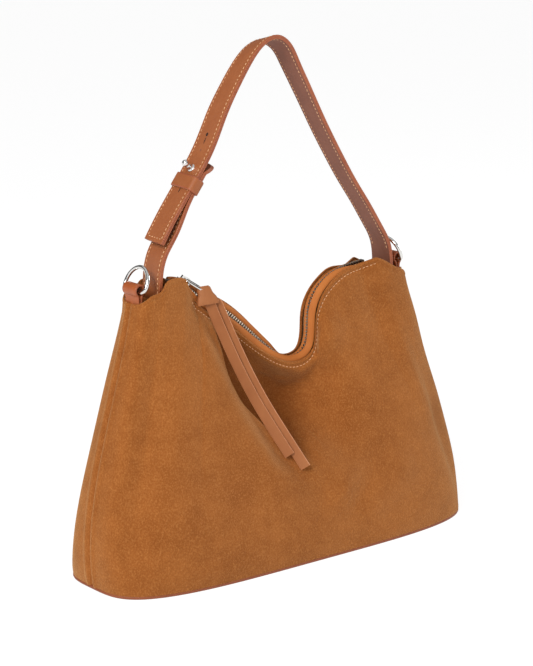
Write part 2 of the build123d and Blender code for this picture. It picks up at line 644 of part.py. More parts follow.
def strap_parts():
    length = arch_length()
    stud = strap_plane(STUD_PLACE)
    spare = strap_plane(STUD_PLACE + SPARE_HOLE_PITCH / length)
    post_hole = stud * Cylinder(STUD_POST_RADIUS + HOLE_CLEARANCE, 6 * STRAP_THICKNESS)
    spare_hole = spare * Cylinder(SPARE_HOLE_RADIUS, 4 * STRAP_THICKNESS)

    outer = slab(long_strap_grid(0.0), STRAP_LEATHER)
    inner = slab(long_strap_grid(STRAP_LEATHER + GLUE_GAP), STRAP_LINING)
    keep("strap_long_leather", outer - post_hole - spare_hole)
    keep("strap_long_lining", inner - post_hole - spare_hole)
    outer = slab(short_grid(0.0), STRAP_LEATHER)
    inner = slab(short_grid(STRAP_LEATHER + GLUE_GAP), STRAP_LINING)
    keep("strap_short_leather", outer - post_hole)
    keep("strap_short_lining", inner - post_hole)
    keep("strap_root_left", root_solid(LEFT_ROOT[0], LEFT_HINGE, -1))
    keep("strap_root_right", root_solid(RIGHT_ROOT[0], RIGHT_HINGE, 1))

    stack = 2 * STRAP_THICKNESS + STRAP_GAP
    seat = -stack - STUD_CAP / 2 - STUD_SINK
    post_length = stack + HOLE_CLEARANCE + STUD_COLLAR + STUD_NECK
    post = Pos(0, 0, seat + STUD_CAP / 2 + post_length / 2) * Cylinder(STUD_POST_RADIUS, post_length)
    collar_level = COLLAR_GAP + STUD_COLLAR / 2
    collar = Pos(0, 0, collar_level) * Cylinder(STUD_COLLAR_RADIUS, STUD_COLLAR)
    neck = Pos(0, 0, STUD_HEIGHT / 2) * Cylinder(STUD_POST_RADIUS, STUD_HEIGHT - STUD_NECK)
    head = Pos(0, 0, STUD_HEIGHT - STUD_HEAD_RADIUS) * Sphere(STUD_HEAD_RADIUS)
    keep("stud_post", stud * (post + collar + neck + head))
    screw = Cylinder(STUD_COLLAR_RADIUS + 0.6, STUD_CAP)
    keep("stud_screw", stud * (Pos(0, 0, seat - 0.1) * screw))

    share = STUD_PLACE - KEEPER_TO_STUD / length
    frame = strap_plane(share, stack / 2)
    hole_y = STRAP_WIDTH + 2 * KEEPER_CLEARANCE
    hole_z = stack + 2 * KEEPER_CLEARANCE
    block = Box(KEEPER_LENGTH, hole_y + 2 * KEEPER_WALL, hole_z + 2 * KEEPER_WALL)
    block = fillet(block.edges().filter_by(Axis.X), KEEPER_WALL * 1.2)
    keeper = block - Box(KEEPER_LENGTH * 2, hole_y, hole_z)
    keep("strap_keeper", frame * keeper)


# ---------------------------------------------------------------- rings and their tabs
def tab_reach():
    return RING_WIRE / 2 + TAB_CLEARANCE + TAB_LEATHER


def ring_parts():
    sides = {
        "left": (TOP_OFFSET - TOP_LENGTH / 2 + LEFT_TAB_INSET, LEFT_SEAM, LEFT_RING_LEAN, 1),
        "right": (TOP_OFFSET + TOP_LENGTH / 2 - RIGHT_TAB_INSET, RIGHT_SEAM, RIGHT_RING_LEAN, -1),
    }
    for name, (x, share, lean, inward) in sides.items():
        bar = Vector(x, 0, share * TOP_HEIGHT + TAB_RISE)
        plane = Plane(bar, Vector(0, 1, 0), Vector(inward * cos(radians(lean)), 0, -sin(radians(lean))))
        half = RING_HALF_WIDTH
        shoulder = RING_HEIGHT - half
        corner = RING_CORNER
        diagonal = corner * (1 - sqrt(0.5))
        sign = 1 if plane.y_dir.Z > 0 else -1
        path = Wire([
            Edge.make_line((-half + corner, 0, 0), (half - corner, 0, 0)),
            Edge.make_three_point_arc((half - corner, 0, 0), (half - diagonal, sign * diagonal, 0),
                                      (half, sign * corner, 0)),
            Edge.make_line((half, sign * corner, 0), (half, sign * shoulder, 0)),
            Edge.make_three_point_arc((half, sign * shoulder, 0), (0, sign * RING_HEIGHT, 0),
                                      (-half, sign * shoulder, 0)),
            Edge.make_line((-half, sign * shoulder, 0), (-half, sign * corner, 0)),
            Edge.make_three_point_arc((-half, sign * corner, 0), (-half + diagonal, sign * diagonal, 0),
                                      (-half + corner, 0, 0)),
        ])
        ring = sweep(Plane(origin=(0, 0, 0), z_dir=(1, 0, 0)) * Circle(RING_WIRE / 2), path=path)
        keep(f"d_ring_{name}", plane * ring)

        reach = tab_reach()
        leg = TAB_LEATHER + TAB_LEGS / 2
        profile = [
            (-leg, -TAB_ROOT), (-leg, -TAB_ROOT * 0.5), (-reach, -1.0),
            (-reach, 3.4), (0, TAB_LOOP), (reach, 3.4), (reach, -1.0),
            (leg, -TAB_ROOT * 0.5), (leg, -TAB_ROOT),
        ]
        line = smooth([(bar.X + px, 0.0, bar.Z + pz) for px, pz in profile], np.linspace(0, 1, 41))
        offsets = np.linspace(-TAB_WIDTH / 2, TAB_WIDTH / 2, 4)
        grid = line[:, None, :] + Y_AXIS * offsets[None, :, None]
        keep(f"ring_tab_{name}", slab(grid, TAB_LEATHER))


body()
shoulder_closures()
zip_parts()
slider_parts()
tails()
strap_parts()
ring_parts()

os.makedirs("parts", exist_ok=True)
for node, shape in PARTS.items():
    export_step(shape, f"parts/{node}.step")
print(len(PARTS), "nodes")
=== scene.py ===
# %% [markdown]
# # A suede hobo bag
# Two soft panels of napped suede stand on a leather base. A zip sags between two peaks, a leather
# strap arches over it, and a knotted lace hangs from the zip's slider. The imported model gives the
# pieces and where they move; this notebook dresses them, piece by piece.

# %% Load the frame
import math

import bmesh
import bpy
import numpy as np
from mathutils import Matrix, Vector


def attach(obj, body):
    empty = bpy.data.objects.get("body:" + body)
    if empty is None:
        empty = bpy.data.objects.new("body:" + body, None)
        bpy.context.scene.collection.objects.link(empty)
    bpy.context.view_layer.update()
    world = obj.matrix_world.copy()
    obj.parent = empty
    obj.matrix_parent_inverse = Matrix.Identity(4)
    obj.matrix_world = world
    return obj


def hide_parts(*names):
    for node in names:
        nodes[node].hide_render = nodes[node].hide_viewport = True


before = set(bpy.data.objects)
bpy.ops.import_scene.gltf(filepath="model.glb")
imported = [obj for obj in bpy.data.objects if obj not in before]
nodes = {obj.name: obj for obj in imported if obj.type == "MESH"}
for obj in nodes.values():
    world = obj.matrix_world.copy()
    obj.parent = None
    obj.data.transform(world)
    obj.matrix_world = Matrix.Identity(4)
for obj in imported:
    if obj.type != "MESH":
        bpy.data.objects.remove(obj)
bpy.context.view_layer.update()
scene = bpy.context.scene

# %% [markdown]
# ## The camera
# A long lens, about 1.7 m away and a little above the bag, keeps the base and the strap's arch from
# spreading.

# %% Camera
CAMERA_PLACE = (-1.025, -1.270, 0.568)
CAMERA_YAW = 38.7
CAMERA_PITCH = 13.8
CAMERA_LENS = 118.9

camera_data = bpy.data.cameras.new("studio_camera")
camera_data.lens = CAMERA_LENS
camera_data.sensor_width = 36.0
camera = bpy.data.objects.new("studio_camera", camera_data)
camera.location = CAMERA_PLACE
camera.rotation_euler = (math.radians(90 - CAMERA_PITCH), 0, math.radians(-CAMERA_YAW))
scene.collection.objects.link(camera)
scene.camera = camera
scene.view_settings.view_transform = "Standard"
print("camera", CAMERA_PLACE)

# %% [markdown]
# ## Shader maths as plain expressions
# A material is easier to read as a sum than as a web of boxes. The class below wraps a socket, so
# that `0.4 + 0.2 * noise` adds the Math nodes by itself. Colours go through a Mix node and vectors
# through a Mapping node, because a Math node would turn them grey.

# %% Socket class
class Socket:
    """An output of a node; arithmetic on it adds Math nodes to the same tree."""

    def __init__(self, tree, output):
        self.tree = tree
        self.output = output

    def node(self, kind, settings=None, **inputs):
        return add_node(self.tree, kind, settings, **inputs)

    def outlet(self, name):
        """Another output of the same node."""
        return Socket(self.tree, self.output.node.outputs[name])

    def maths(self, operation, *values):
        names = ("a", "b", "c")
        return self.node("ShaderNodeMath", {"operation": operation}, **dict(zip(names, values)))

    def __add__(self, other):
        return self.maths("ADD", self, other)

    def __radd__(self, other):
        return self.maths("ADD", other, self)

    def __sub__(self, other):
        return self.maths("SUBTRACT", self, other)

    def __rsub__(self, other):
        return self.maths("SUBTRACT", other, self)

    def __mul__(self, other):
        return self.maths("MULTIPLY", self, other)

    def __rmul__(self, other):
        return self.maths("MULTIPLY", other, self)

    def __pow__(self, other):
        return self.maths("POWER", self, other)

    def between(self, low, high):
        """0 below low, 1 above high, straight between them."""
        settings = {"clamp": True}
        return self.node("ShaderNodeMapRange", settings, Value=self, **{"From Min": low, "From Max": high})


def add_node(tree, kind, settings=None, **inputs):
    """Adds a node; settings first, then its input sockets by name, or a, b, c by place."""
    made = tree.nodes.new(kind)
    for key, value in (settings or {}).items():
        if key == "stops":
            ramp = made.color_ramp.elements
            while len(ramp) < len(value):
                ramp.new(0.5)
            for stop, (place, colour) in zip(ramp, value):
                stop.position, stop.color = place, colour
        else:
            setattr(made, key, value)
    places = {"a": 0, "b": 1, "c": 2}
    for name, value in inputs.items():
        usable = [s for s in made.inputs if s.enabled]
        if name in places:
            target = usable[places[name]]
        else:
            target = next(s for s in usable if s.name == name)
        if isinstance(value, Socket):
            tree.links.new(value.output, target)
        else:
            target.default_value = value
    shown = [s for s in made.outputs if s.enabled]
    return Socket(tree, shown[0])


def mixed(factor, first, second):
    """A colour between two colours."""
    settings = {"data_type": "RGBA"}
    return add_node(factor.tree, "ShaderNodeMix", settings, Factor=factor, A=first, B=second)


def rgb(red, green, blue):
    """A linear colour from the 0 to 255 numbers of a paint chart."""
    return tuple((c / 255 / 12.92 if c <= 10 else ((c / 255 + 0.055) / 1.055) ** 2.4)
                 for c in (red, green, blue)) + (1.0,)


print("leather tan in linear light", [round(c, 3) for c in rgb(178, 100, 58)])

# %% [markdown]
# ## How a material is put together
# Each finish is one function of its tree: it returns the colour, the roughness and a height for the
# bump. A shared wrapper makes the Principled shader, so a finish holds only what is special to it.

# %% Material builder
def noise(tree, size, detail=3.0, rough=0.5, stretch=(1, 1, 1)):
    """Noise with features of about the given size in metres, from 0 to 1."""
    place = add_node(tree, "ShaderNodeTexCoord").outlet("Object")
    scale = {"Scale": tuple(s / size for s in stretch)}
    place = add_node(tree, "ShaderNodeMapping", {"vector_type": "POINT"}, Vector=place, **scale)
    settings = {"noise_dimensions": "3D"}
    return add_node(tree, "ShaderNodeTexNoise", settings, Vector=place, Scale=1.0, Detail=detail,
                    Roughness=rough)


def material(name, finish, metallic=0.0, **constants):
    """finish(tree) gives colour, roughness, height and the height's depth in metres."""
    made = bpy.data.materials.new(name)
    made.use_nodes = True
    tree = made.node_tree
    shader = tree.nodes["Principled BSDF"]
    colour, roughness, height, depth = finish(tree)
    tree.links.new(colour.output, shader.inputs["Base Color"])
    tree.links.new(roughness.output, shader.inputs["Roughness"])
    bump = add_node(tree, "ShaderNodeBump", None, Height=height, Distance=depth, Strength=1.0)
    tree.links.new(bump.output, shader.inputs["Normal"])
    shader.inputs["Metallic"].default_value = metallic
    for key, value in constants.items():
        shader.inputs[key].default_value = value
    made.diffuse_color = (0.5, 0.3, 0.15, 1)
    return made


print("noise at 1 mm runs through", round(1 / 0.001), "features a metre")

# %% [markdown]
# ## Suede
# Suede is the flesh side of a hide, brushed into a short nap. It has no gloss, it is mottled where
# the nap lies differently, and it turns paler where it is seen edge on. Fine noise gives the nap,
# broad noise the mottling, and a little sheen the pale edges.

# %% Suede finish
SUEDE_COLOUR = rgb(156, 92, 42)
SUEDE_PALE = rgb(198, 134, 74)
SUEDE_DEEP = rgb(126, 67, 24)


def suede_finish(tree):
    cloud = noise(tree, 0.060, 2.0)
    patch = noise(tree, 0.012, 3.0)
    nap = noise(tree, 0.0011, 3.0, 0.7, (1.0, 1.0, 0.8))
    fleck = noise(tree, 0.0011, 2.0, 0.6)
    deep = (cloud * 0.55 + patch * 0.45).between(0.22, 0.62)
    colour = mixed(deep, SUEDE_DEEP, SUEDE_COLOUR)
    colour = mixed(nap.between(0.50, 0.74) * 0.50, colour, SUEDE_PALE)
    colour = mixed(nap.between(0.50, 0.28) * 0.56, colour, SUEDE_DEEP)
    roughness = 0.90 + 0.08 * patch
    return colour, roughness, nap + 0.6 * fleck, 0.00045


suede = material("napped_suede", suede_finish, **{
    "Sheen Weight": 0.55, "Sheen Roughness": 0.45, "Specular IOR Level": 0.10,
    "Sheen Tint": rgb(240, 196, 140)})
print("suede ready")

# %% [markdown]
# ## Smooth leathers
# The strap, the facings beside the zip, the tabs, the lace and the base are full-grain leather in
# slightly different tans. They share one recipe: pores and fine wrinkles in the bump, and a soft
# gloss. Cut edges are closed with paint, or left pale on the lace.

# %% Leather finishes
def leather_finish(main, worn, gloss=0.45, grain=0.0009, depth=0.00012):
    def finish(tree):
        cloud = noise(tree, 0.020, 3.0)
        pores = noise(tree, grain, 3.0, 0.6)
        streak = noise(tree, 0.004, 3.0, 0.6, (1, 1, 0.25))
        colour = mixed((cloud * 0.6 + streak * 0.4).between(0.35, 0.70), main, worn)
        roughness = gloss + 0.16 * pores + 0.06 * cloud
        return colour, roughness, pores + 0.5 * streak, depth
    return finish


def leather(name, main, worn, **settings):
    return material(name, leather_finish(main, worn, **settings), **{"Specular IOR Level": 0.45})


strap_leather = leather("strap_leather", rgb(148, 80, 38), rgb(160, 92, 48))
# The flesh side is a darker leather, and its colour is darkened further as painted shade for the strap's
# underside, which lies in shadow.
strap_flesh_and_shade = leather("strap_flesh_side_and_painted_shade", rgb(116, 66, 46), rgb(130, 78, 56), gloss=0.6)
edge_paint = leather("edge_paint", rgb(146, 72, 38), rgb(162, 88, 52), gloss=0.4)
facing_leather = leather("zip_facing_leather", rgb(178, 100, 36), rgb(190, 112, 46), gloss=0.66)
tab_leather = leather("tab_leather", rgb(156, 76, 32), rgb(170, 92, 44), gloss=0.34)
lace_leather = leather("lace_leather", rgb(150, 88, 44), rgb(162, 100, 54), gloss=0.55)
lace_flesh = leather("lace_flesh_side", rgb(118, 66, 32), rgb(134, 80, 42), gloss=0.65)
lace_edge = leather("lace_cut_edge", rgb(206, 138, 96), rgb(216, 152, 110), gloss=0.6)
base_leather = leather("base_leather", rgb(132, 66, 32), rgb(144, 76, 40), gloss=0.5)
print("leathers ready")

# %% [markdown]
# ## Metal, thread, tape and cloth
# Chrome needs little but clean shapes and something to mirror; a trace of haze keeps it real. One
# noise is enough for metal, thread and board. Tape and lining are woven, so two waves cross in them.

# %% Metal, thread and cloth finishes
def speckled_finish(size, detail, dark, pale, rough, rougher, depth):
    """Colour, roughness and height all follow one noise."""
    def finish(tree):
        speckle = noise(tree, size, detail)
        return mixed(speckle, dark, pale), rough + rougher * speckle, speckle, depth
    return finish


def woven_finish(warp, weft, pitch):
    """Two sets of waves, across each other, with the given pitch in metres."""
    def finish(tree):
        place = add_node(tree, "ShaderNodeTexCoord").outlet("Object")
        waves = []
        for way in "XZ":
            settings = {"wave_type": "BANDS", "bands_direction": way, "wave_profile": "SIN"}
            wave = add_node(tree, "ShaderNodeTexWave", settings, Vector=place, Scale=0.314 / pitch)
            waves.append(wave.outlet("Fac"))
        weave = waves[0] * waves[1]
        return mixed(weave, warp, weft), 0.85 + 0.1 * weave, weave, 0.0001
    return finish


chrome = material("chrome", speckled_finish(
    0.004, 2.0, rgb(214, 212, 208), rgb(236, 235, 232), 0.10, 0.08, 0.00001), metallic=1.0)
teeth_metal = material("zip_teeth_metal", speckled_finish(
    0.002, 3.0, rgb(128, 112, 96), rgb(176, 164, 148), 0.24, 0.16, 0.00002), metallic=1.0)
thread = material("sewing_thread", speckled_finish(
    0.0005, 2.0, rgb(206, 152, 108), rgb(232, 188, 146), 0.6, 0.2, 0.00005))
tape_cloth = material("zip_tape_cloth", woven_finish(rgb(92, 52, 26), rgb(120, 72, 38), 0.0008))
lining_cloth = material("lining_cloth", woven_finish(rgb(150, 122, 90), rgb(176, 148, 112), 0.0010))
board = material("fibre_board", speckled_finish(
    0.002, 4.0, rgb(52, 46, 40), rgb(74, 66, 56), 0.8, 0.1, 0.0001))
print("metals and cloths ready")

# %% [markdown]
# ## The bag's own lines
# A few lines drive everything soft: the sagging zip, the two shoulders and the outline of the base.
# They start from the lines that the solids were cut to; the shoulders and the rims are drawn a few
# millimetres away from them, softer than a solid can be. A natural cubic spline carries each list.

# %% Splines
def smooth(points, shares):
    """A natural cubic spline through points, at the given shares of its chord length."""
    p = np.asarray(points, float)
    chord = np.linalg.norm(np.diff(p[:, :3], axis=0), axis=1)
    knot = np.concatenate([[0.0], np.cumsum(chord)]) / chord.sum()
    step = np.diff(knot)
    count = len(p)
    system = np.zeros((count, count))
    right = np.zeros(p.shape)
    system[0, 0] = system[-1, -1] = 1.0
    for i in range(1, count - 1):
        system[i, i - 1:i + 2] = step[i - 1], 2 * (step[i - 1] + step[i]), step[i]
        right[i] = 6 * ((p[i + 1] - p[i]) / step[i] - (p[i] - p[i - 1]) / step[i - 1])
    bend = np.linalg.solve(system, right)
    t = np.clip(np.asarray(shares, float), 0, 1)
    i = np.clip(np.searchsorted(knot, t, side="right") - 1, 0, count - 2)
    a = (knot[i + 1] - t)[:, None]
    b = (t - knot[i])[:, None]
    h = step[i][:, None]
    curve = (bend[i] * a**3 + bend[i + 1] * b**3) / (6 * h)
    return curve + (p[i] / h - bend[i] * h / 6) * a + (p[i + 1] / h - bend[i + 1] * h / 6) * b


def sampled(line, run, where):
    """Points of a line, or one point, at the given distances along it."""
    return np.stack([np.interp(where, run, line[:, i]) for i in range(3)], -1)


def spread(points, shares):
    """Points at the given shares of a polyline's length."""
    chord = np.linalg.norm(np.diff(points, axis=0), axis=1)
    knot = np.concatenate([[0.0], np.cumsum(chord)]) / chord.sum()
    return sampled(points, knot, shares)


def unit(vectors):
    return vectors / np.linalg.norm(vectors, axis=-1)[..., None]


def square_to(along):
    """The directions square to these in the upright plane that runs the bag's length."""
    return np.stack([-along[:, 2], 0 * along[:, 0], along[:, 0]], 1)


def travelled(line):
    """The distance from a line's start to each of its points."""
    return np.concatenate([[0.0], np.cumsum(np.linalg.norm(np.diff(line, axis=0), axis=1))])


Y_AXIS = np.array([0.0, 1.0, 0.0])
Z_AXIS = np.array([0.0, 0.0, 1.0])
print("spline check", smooth([(0, 0, 0), (1, 0, 0), (2, 0, 0)], [0.5])[0])

# %% [markdown]
# ## The zip's band and the panels' top edges
# The zip is a narrow, domed band that sags and rolls forward between two peaks. The panels hang from
# it and from the shoulders beyond its ends, so both edges are drawn before any hide is.

# %% The zip's band and the edges of the panels
MM = 0.001
TOP_LENGTH, TOP_OFFSET, TOP_HEIGHT = 262 * MM, -3 * MM, 223 * MM
STRAP_WIDTH, STRAP_LEATHER, STRAP_LINING, GLUE_GAP = 25 * MM, 1.7 * MM, 1.3 * MM, 0.1 * MM
SUEDE, LINING, LINING_GAP, SEAM_GAP = 1.4 * MM, 0.6 * MM, 0.6 * MM, 0.4 * MM
LAYERS = SUEDE + LINING + LINING_GAP
TOP_DEPTH = STRAP_WIDTH + 2 * (LAYERS + 0.5 * MM)
ZIP_HALF_WIDTH, ZIP_DOME, FACING = 8.5 * MM, 1.6 * MM, 1.2 * MM
ZIP_PATH = [
    (-0.771, 1.000, 0), (-0.656, 0.987, 14), (-0.527, 0.930, 42), (-0.344, 0.863, 56),
    (-0.153, 0.774, 52), (0.015, 0.693, 30), (0.137, 0.659, 8), (0.233, 0.675, 0),
    (0.267, 0.740, 0), (0.277, 0.816, 0), (0.344, 0.886, 0), (0.473, 0.934, 0),
    (0.603, 0.952, 0), (0.733, 0.958, 0),
]
LEFT_SHOULDER = [
    (-1.000, 0.00, 0.937), (-0.998, 0.45, 0.940), (-0.975, 0.82, 0.952), (-0.933, 0.97, 0.969),
    (-0.885, 1.00, 0.974), (-0.866, 1.00, 0.981), (-0.850, 1.00, 0.996), (-0.825, 0.98, 1.009),
    (-0.780, 0.92, 1.013), (-0.725, 0.84, 1.012), (-0.665, 0.74, 0.996),
]
RIGHT_SHOULDER = [
    (0.706, 0.84, 0.972), (0.760, 0.95, 0.960), (0.824, 0.99, 0.938), (0.890, 0.93, 0.920),
    (0.950, 0.78, 0.906), (0.985, 0.50, 0.890), (0.998, 0.22, 0.884), (1.000, 0.00, 0.884),
]
PANEL_ZIP = (0.115, 0.955)
print("zip led by", len(ZIP_PATH), "points")


# %% Places on the zip's band
def top_points(shares, side):
    p = np.asarray(shares, float)
    x = TOP_OFFSET + p[:, 0] * TOP_LENGTH / 2
    return np.stack([x, side * p[:, 1] * TOP_DEPTH / 2, p[:, 2] * TOP_HEIGHT], 1)


def zip_frame(shares):
    """Middle of the chain, direction of the zip, across it to the rear, and up from it."""
    path = [(TOP_OFFSET + x * TOP_LENGTH / 2, 0.0, z * TOP_HEIGHT, roll) for x, z, roll in ZIP_PATH]
    shares = np.asarray(shares, float)
    here = smooth(path, shares)
    ahead = smooth(path, shares + 1e-3) - smooth(path, shares - 1e-3)
    along = unit(ahead[:, :3])
    level_up = square_to(along)
    roll = np.radians(here[:, 3])[:, None]
    across = np.cos(roll) * Y_AXIS + np.sin(roll) * level_up
    up = -np.sin(roll) * Y_AXIS + np.cos(roll) * level_up
    return here[:, :3], along, across, up


def zip_point(shares, width, height=0.0):
    """Points on the zip's band: width across it, rear positive, and height above its skin."""
    middle, along, across, up = zip_frame(shares)
    return middle + across * width + up * (height - ZIP_DOME * (width / ZIP_HALF_WIDTH) ** 2)


ZIP_LENGTH = travelled(zip_point(np.linspace(0, 1, 400), 0))[-1]
print("zip length", round(ZIP_LENGTH, 4), "m")

# %% Top edges of the panels
BACK_DROP = 4.0 * MM


def ramp(values, start, end):
    """0 before start, 1 after end, with no corner between."""
    t = np.clip((np.asarray(values, float) - start) / (end - start), 0, 1)
    return t * t * (3 - 2 * t)


def rim_lift(shares):
    """How far a panel's edge is turned up over its seam: the slack hide stands level with the zip."""
    lift = (FACING + SUEDE) * ramp(shares, 0.110, 0.150) + 1.6 * MM * ramp(shares, 0.80, 0.90)
    return lift * (1 - ramp(shares, 0.950, 0.985))


def top_edge(side):
    """The upper edge of a panel: side -1 is the front, +1 the back, which is pulled lower at its ends."""
    left = smooth(top_points(LEFT_SHOULDER, side), np.linspace(0, 1, 60))
    right = smooth(top_points(RIGHT_SHOULDER, side), np.linspace(0, 1, 60))
    shares = np.linspace(*PANEL_ZIP, 120)
    lift = rim_lift(shares)
    if side > 0:
        left[:, 2] -= BACK_DROP * ramp(left[:, 0], -118 * MM, -108 * MM)
        right[:, 2] -= BACK_DROP * (1 - ramp(right[:, 0], 110 * MM, 125 * MM))
        lift = lift - BACK_DROP * (1 - ramp(shares, 0.115, 0.20) + ramp(shares, 0.86, 0.95))
    edge = side * (ZIP_HALF_WIDTH + SEAM_GAP)
    zip_run = zip_point(shares, edge, (lift - FACING - SUEDE)[:, None])
    ends = np.vstack([left[:-2], zip_run[2:-2], right[2:]])
    even = spread(ends, np.linspace(0, 1, 1200))
    kernel = np.hanning(23) / np.hanning(23).sum()
    eased = np.stack([np.convolve(even[:, k], kernel, "valid") for k in range(3)], 1)
    return np.vstack([even[:1], eased, even[-1:]])


print("front edge", round(travelled(top_edge(-1))[-1], 4), "m")

# %% [markdown]
# ## Making closed sheets and rods
# Almost every soft piece is a sheet with a front, a back and cut edges. `band` closes one between two
# grids of points and rounds its long edges; `rod_faces` closes a stack of rings, as a lathe or a
# stitch needs. Each face knows whether it is front, back or edge, so edge paint needs no texture.

# %% Mesh builders
def build(name, points, faces, finishes, kinds=None, body="bag", sharp=38, stands_for=()):
    """A mesh piece that rides on a body and may stand for solid nodes."""
    data = bpy.data.meshes.new(name)
    data.from_pydata(np.asarray(points).tolist(), [], faces)
    for finish in finishes:
        data.materials.append(finish)
    if kinds is not None:
        data.polygons.foreach_set("material_index", np.asarray(kinds, np.int32))
    even = bmesh.new()
    even.from_mesh(data)
    bmesh.ops.recalc_face_normals(even, faces=even.faces)
    even.to_mesh(data)
    even.free()
    data.polygons.foreach_set("use_smooth", np.ones(len(data.polygons), bool))
    data.set_sharp_from_angle(angle=math.radians(sharp))
    made = bpy.data.objects.new(name, data)
    scene.collection.objects.link(made)
    if body:
        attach(made, body)
    if stands_for:
        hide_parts(*stands_for)
    return made


# %% Closed sheets
def turned_edge(first, second, ahead, roundness, steps):
    """Lines of points that lead round an edge from one side of a sheet to the other."""
    centre, half = (first + second) / 2, (first - second) / 2
    reach = np.linalg.norm(half, axis=1)[:, None] * roundness
    angles = np.linspace(0, math.pi, steps + 2)[1:-1]
    return [centre + half * math.cos(a) + ahead * reach * math.sin(a) for a in angles]


def band(name, outer, inner, finishes, roundness=0.7, steps=3, **rest):
    """A closed sheet; finishes are for its outer side, inner side and edges."""
    far = turned_edge(outer[:, -1], inner[:, -1], unit(outer[:, -1] - outer[:, -2]), roundness, steps)
    near = turned_edge(inner[:, 0], outer[:, 0], unit(outer[:, 0] - outer[:, 1]), roundness, steps)
    rows, cols = outer.shape[:2]
    lines = [*outer.transpose(1, 0, 2), *far, *inner[:, ::-1].transpose(1, 0, 2), *near]
    loop = np.stack(lines, 1)
    count = loop.shape[1]
    kind = np.full(count, 2)
    kind[:cols - 1] = 0
    kind[cols + steps:2 * cols + steps - 1] = 1
    faces, kinds = [], []
    for row in range(rows - 1):
        here, there = row * count, (row + 1) * count
        for k in range(count):
            ahead = (k + 1) % count
            faces.append((here + k, here + ahead, there + ahead, there + k))
        kinds.append(kind)
    kinds = list(np.concatenate(kinds))
    for row in (0, rows - 1):
        start = row * count
        back = start + 2 * cols + steps - 1
        for k in range(cols - 1):
            faces.append((start + k, start + k + 1, back - k - 1, back - k))
        faces.append(tuple(start + k for k in range(cols - 1, cols + steps + 1)))
        faces.append(tuple(start + k % count for k in range(2 * cols + steps - 1, count + 1)))
        kinds += [2] * (cols + 1)
    return build(name, loop.reshape(-1, 3), faces, finishes, kinds, **rest)


# %% Rods, normals and paint
def rod_faces(rings, sides, start=0):
    """Faces round a stack of rings of points, with a flat face at each end."""
    faces = []
    for r in range(rings - 1):
        here, there = start + r * sides, start + (r + 1) * sides
        for k in range(sides):
            after = (k + 1) % sides
            faces.append((here + k, here + after, there + after, there + k))
    last = start + (rings - 1) * sides
    return faces + [tuple(range(start, start + sides)), tuple(range(last, last + sides))]


def normals(grid):
    return unit(np.cross(np.gradient(grid, axis=0), np.gradient(grid, axis=1)))


def paint(finish, *names):
    """Gives solid nodes that are shown as they are one of the finishes."""
    for name in names:
        nodes[name].data.materials.clear()
        nodes[name].data.materials.append(finish)


print("builders ready")

# %% [markdown]
# ## Where the lace hangs
# A strip of leather is threaded through the pull ring, folded over itself into a flat knot, and its
# two ends hang down the front. Each tail follows one smooth curve, led by a few points that stand a
# few millimetres from the solid's own, and its length is measured.

# %% Sizes of the zip that the lace hangs from
CHAIN_OPENING, FACING_LAP, FACING_EDGE, FACING_DOME = 4.6 * MM, 2.4 * MM, 7.9 * MM, 2.2 * MM
TAPE, TAPE_START, TAPE_END = 0.6 * MM, 2.5 * MM, 5.6 * MM
TOOTH_PITCH, TOOTH_LENGTH, TOOTH_PARTING = 2.5 * MM, 1.25 * MM, 1.9 * MM
TOOTH_REACH, TOOTH_OVERLAP, TOOTH_HEIGHT = 1.9 * MM, 0.5 * MM, 2.2 * MM
SLIDER_PLACE = 0.070
print("slider stands at", SLIDER_PLACE, "of the zip")

# %% Lace lines
SLIDER_PLATE, THROAT_CLEARANCE = 1.1 * MM, 0.90 * MM
PULL_CLEARANCE, PULL_LENGTH, PULL_TURN, PULL_WIRE = 0.2 * MM, 18 * MM, 18.0, 1.9 * MM
KNOT_HEIGHT = 13.5 * MM
KNOT_LEAN, KNOT_TILT, KNOT_TURN = 6.0, 20.0, 22.0
KNOT_OVER_RING, KNOT_ASIDE, KNOT_FORWARD = 2.2 * MM, 0.3 * MM, 1.2 * MM
TAIL_WIDTH, TAIL_LEATHER, TAIL_GAP, TAIL_DROP, TAIL_ASIDE = 7.4 * MM, 1.4 * MM, 0.4 * MM, 0.2 * MM, 3.2 * MM
TAIL_LEAN, TAIL_REAR_EXTRA, TAIL_REAR_ASIDE = 22.9, 14 * MM, 4.6 * MM
TAIL_ROUTE = [(0, 11.5), (33.3, 14), (66.3, 19.4), (94.3, 27.6), (128.3, 43.5)]

middle, along, across, up = (v[0] for v in zip_frame([SLIDER_PLACE]))
slider_middle = middle - up * (FACING + TAPE / 2)
slider_eye = TOOTH_HEIGHT / 2 + THROAT_CLEARANCE + SLIDER_PLATE + PULL_CLEARANCE + PULL_WIRE / 2
turn = math.radians(-PULL_TURN)
pull_across = np.cross(up, along)
pull_way = along * math.cos(turn) + pull_across * math.sin(turn)
ring_end = slider_middle + up * slider_eye + pull_way * (PULL_LENGTH - PULL_WIRE)


def hanging_axes(lean_degrees, tilt_degrees=0.0, turn_degrees=0.0):
    """Down the lace, to the back and across it; the turn is about the upright."""
    lean, tilt, turn = (math.radians(d) for d in (lean_degrees, tilt_degrees, turn_degrees))
    down = np.array([math.sin(lean) * math.cos(tilt), -math.sin(tilt), -math.cos(lean) * math.cos(tilt)])
    across = np.array([math.cos(lean), 0.0, math.sin(lean)])
    spin = np.array([[math.cos(turn), math.sin(turn), 0], [-math.sin(turn), math.cos(turn), 0], [0, 0, 1]])
    down, across = spin @ down, spin @ across
    return down, np.cross(across, down), across


knot_down, knot_back, knot_across = hanging_axes(KNOT_LEAN, KNOT_TILT, KNOT_TURN)
knot_top = ring_end + np.array([KNOT_ASIDE, -KNOT_FORWARD, KNOT_OVER_RING])
knot_foot = knot_top + knot_down * (KNOT_HEIGHT + TAIL_DROP) + knot_across * TAIL_ASIDE
for label, place in (("ring end", ring_end), ("knot foot", knot_foot)):
    print(label, [round(float(v) * 1000, 2) for v in place], "mm")

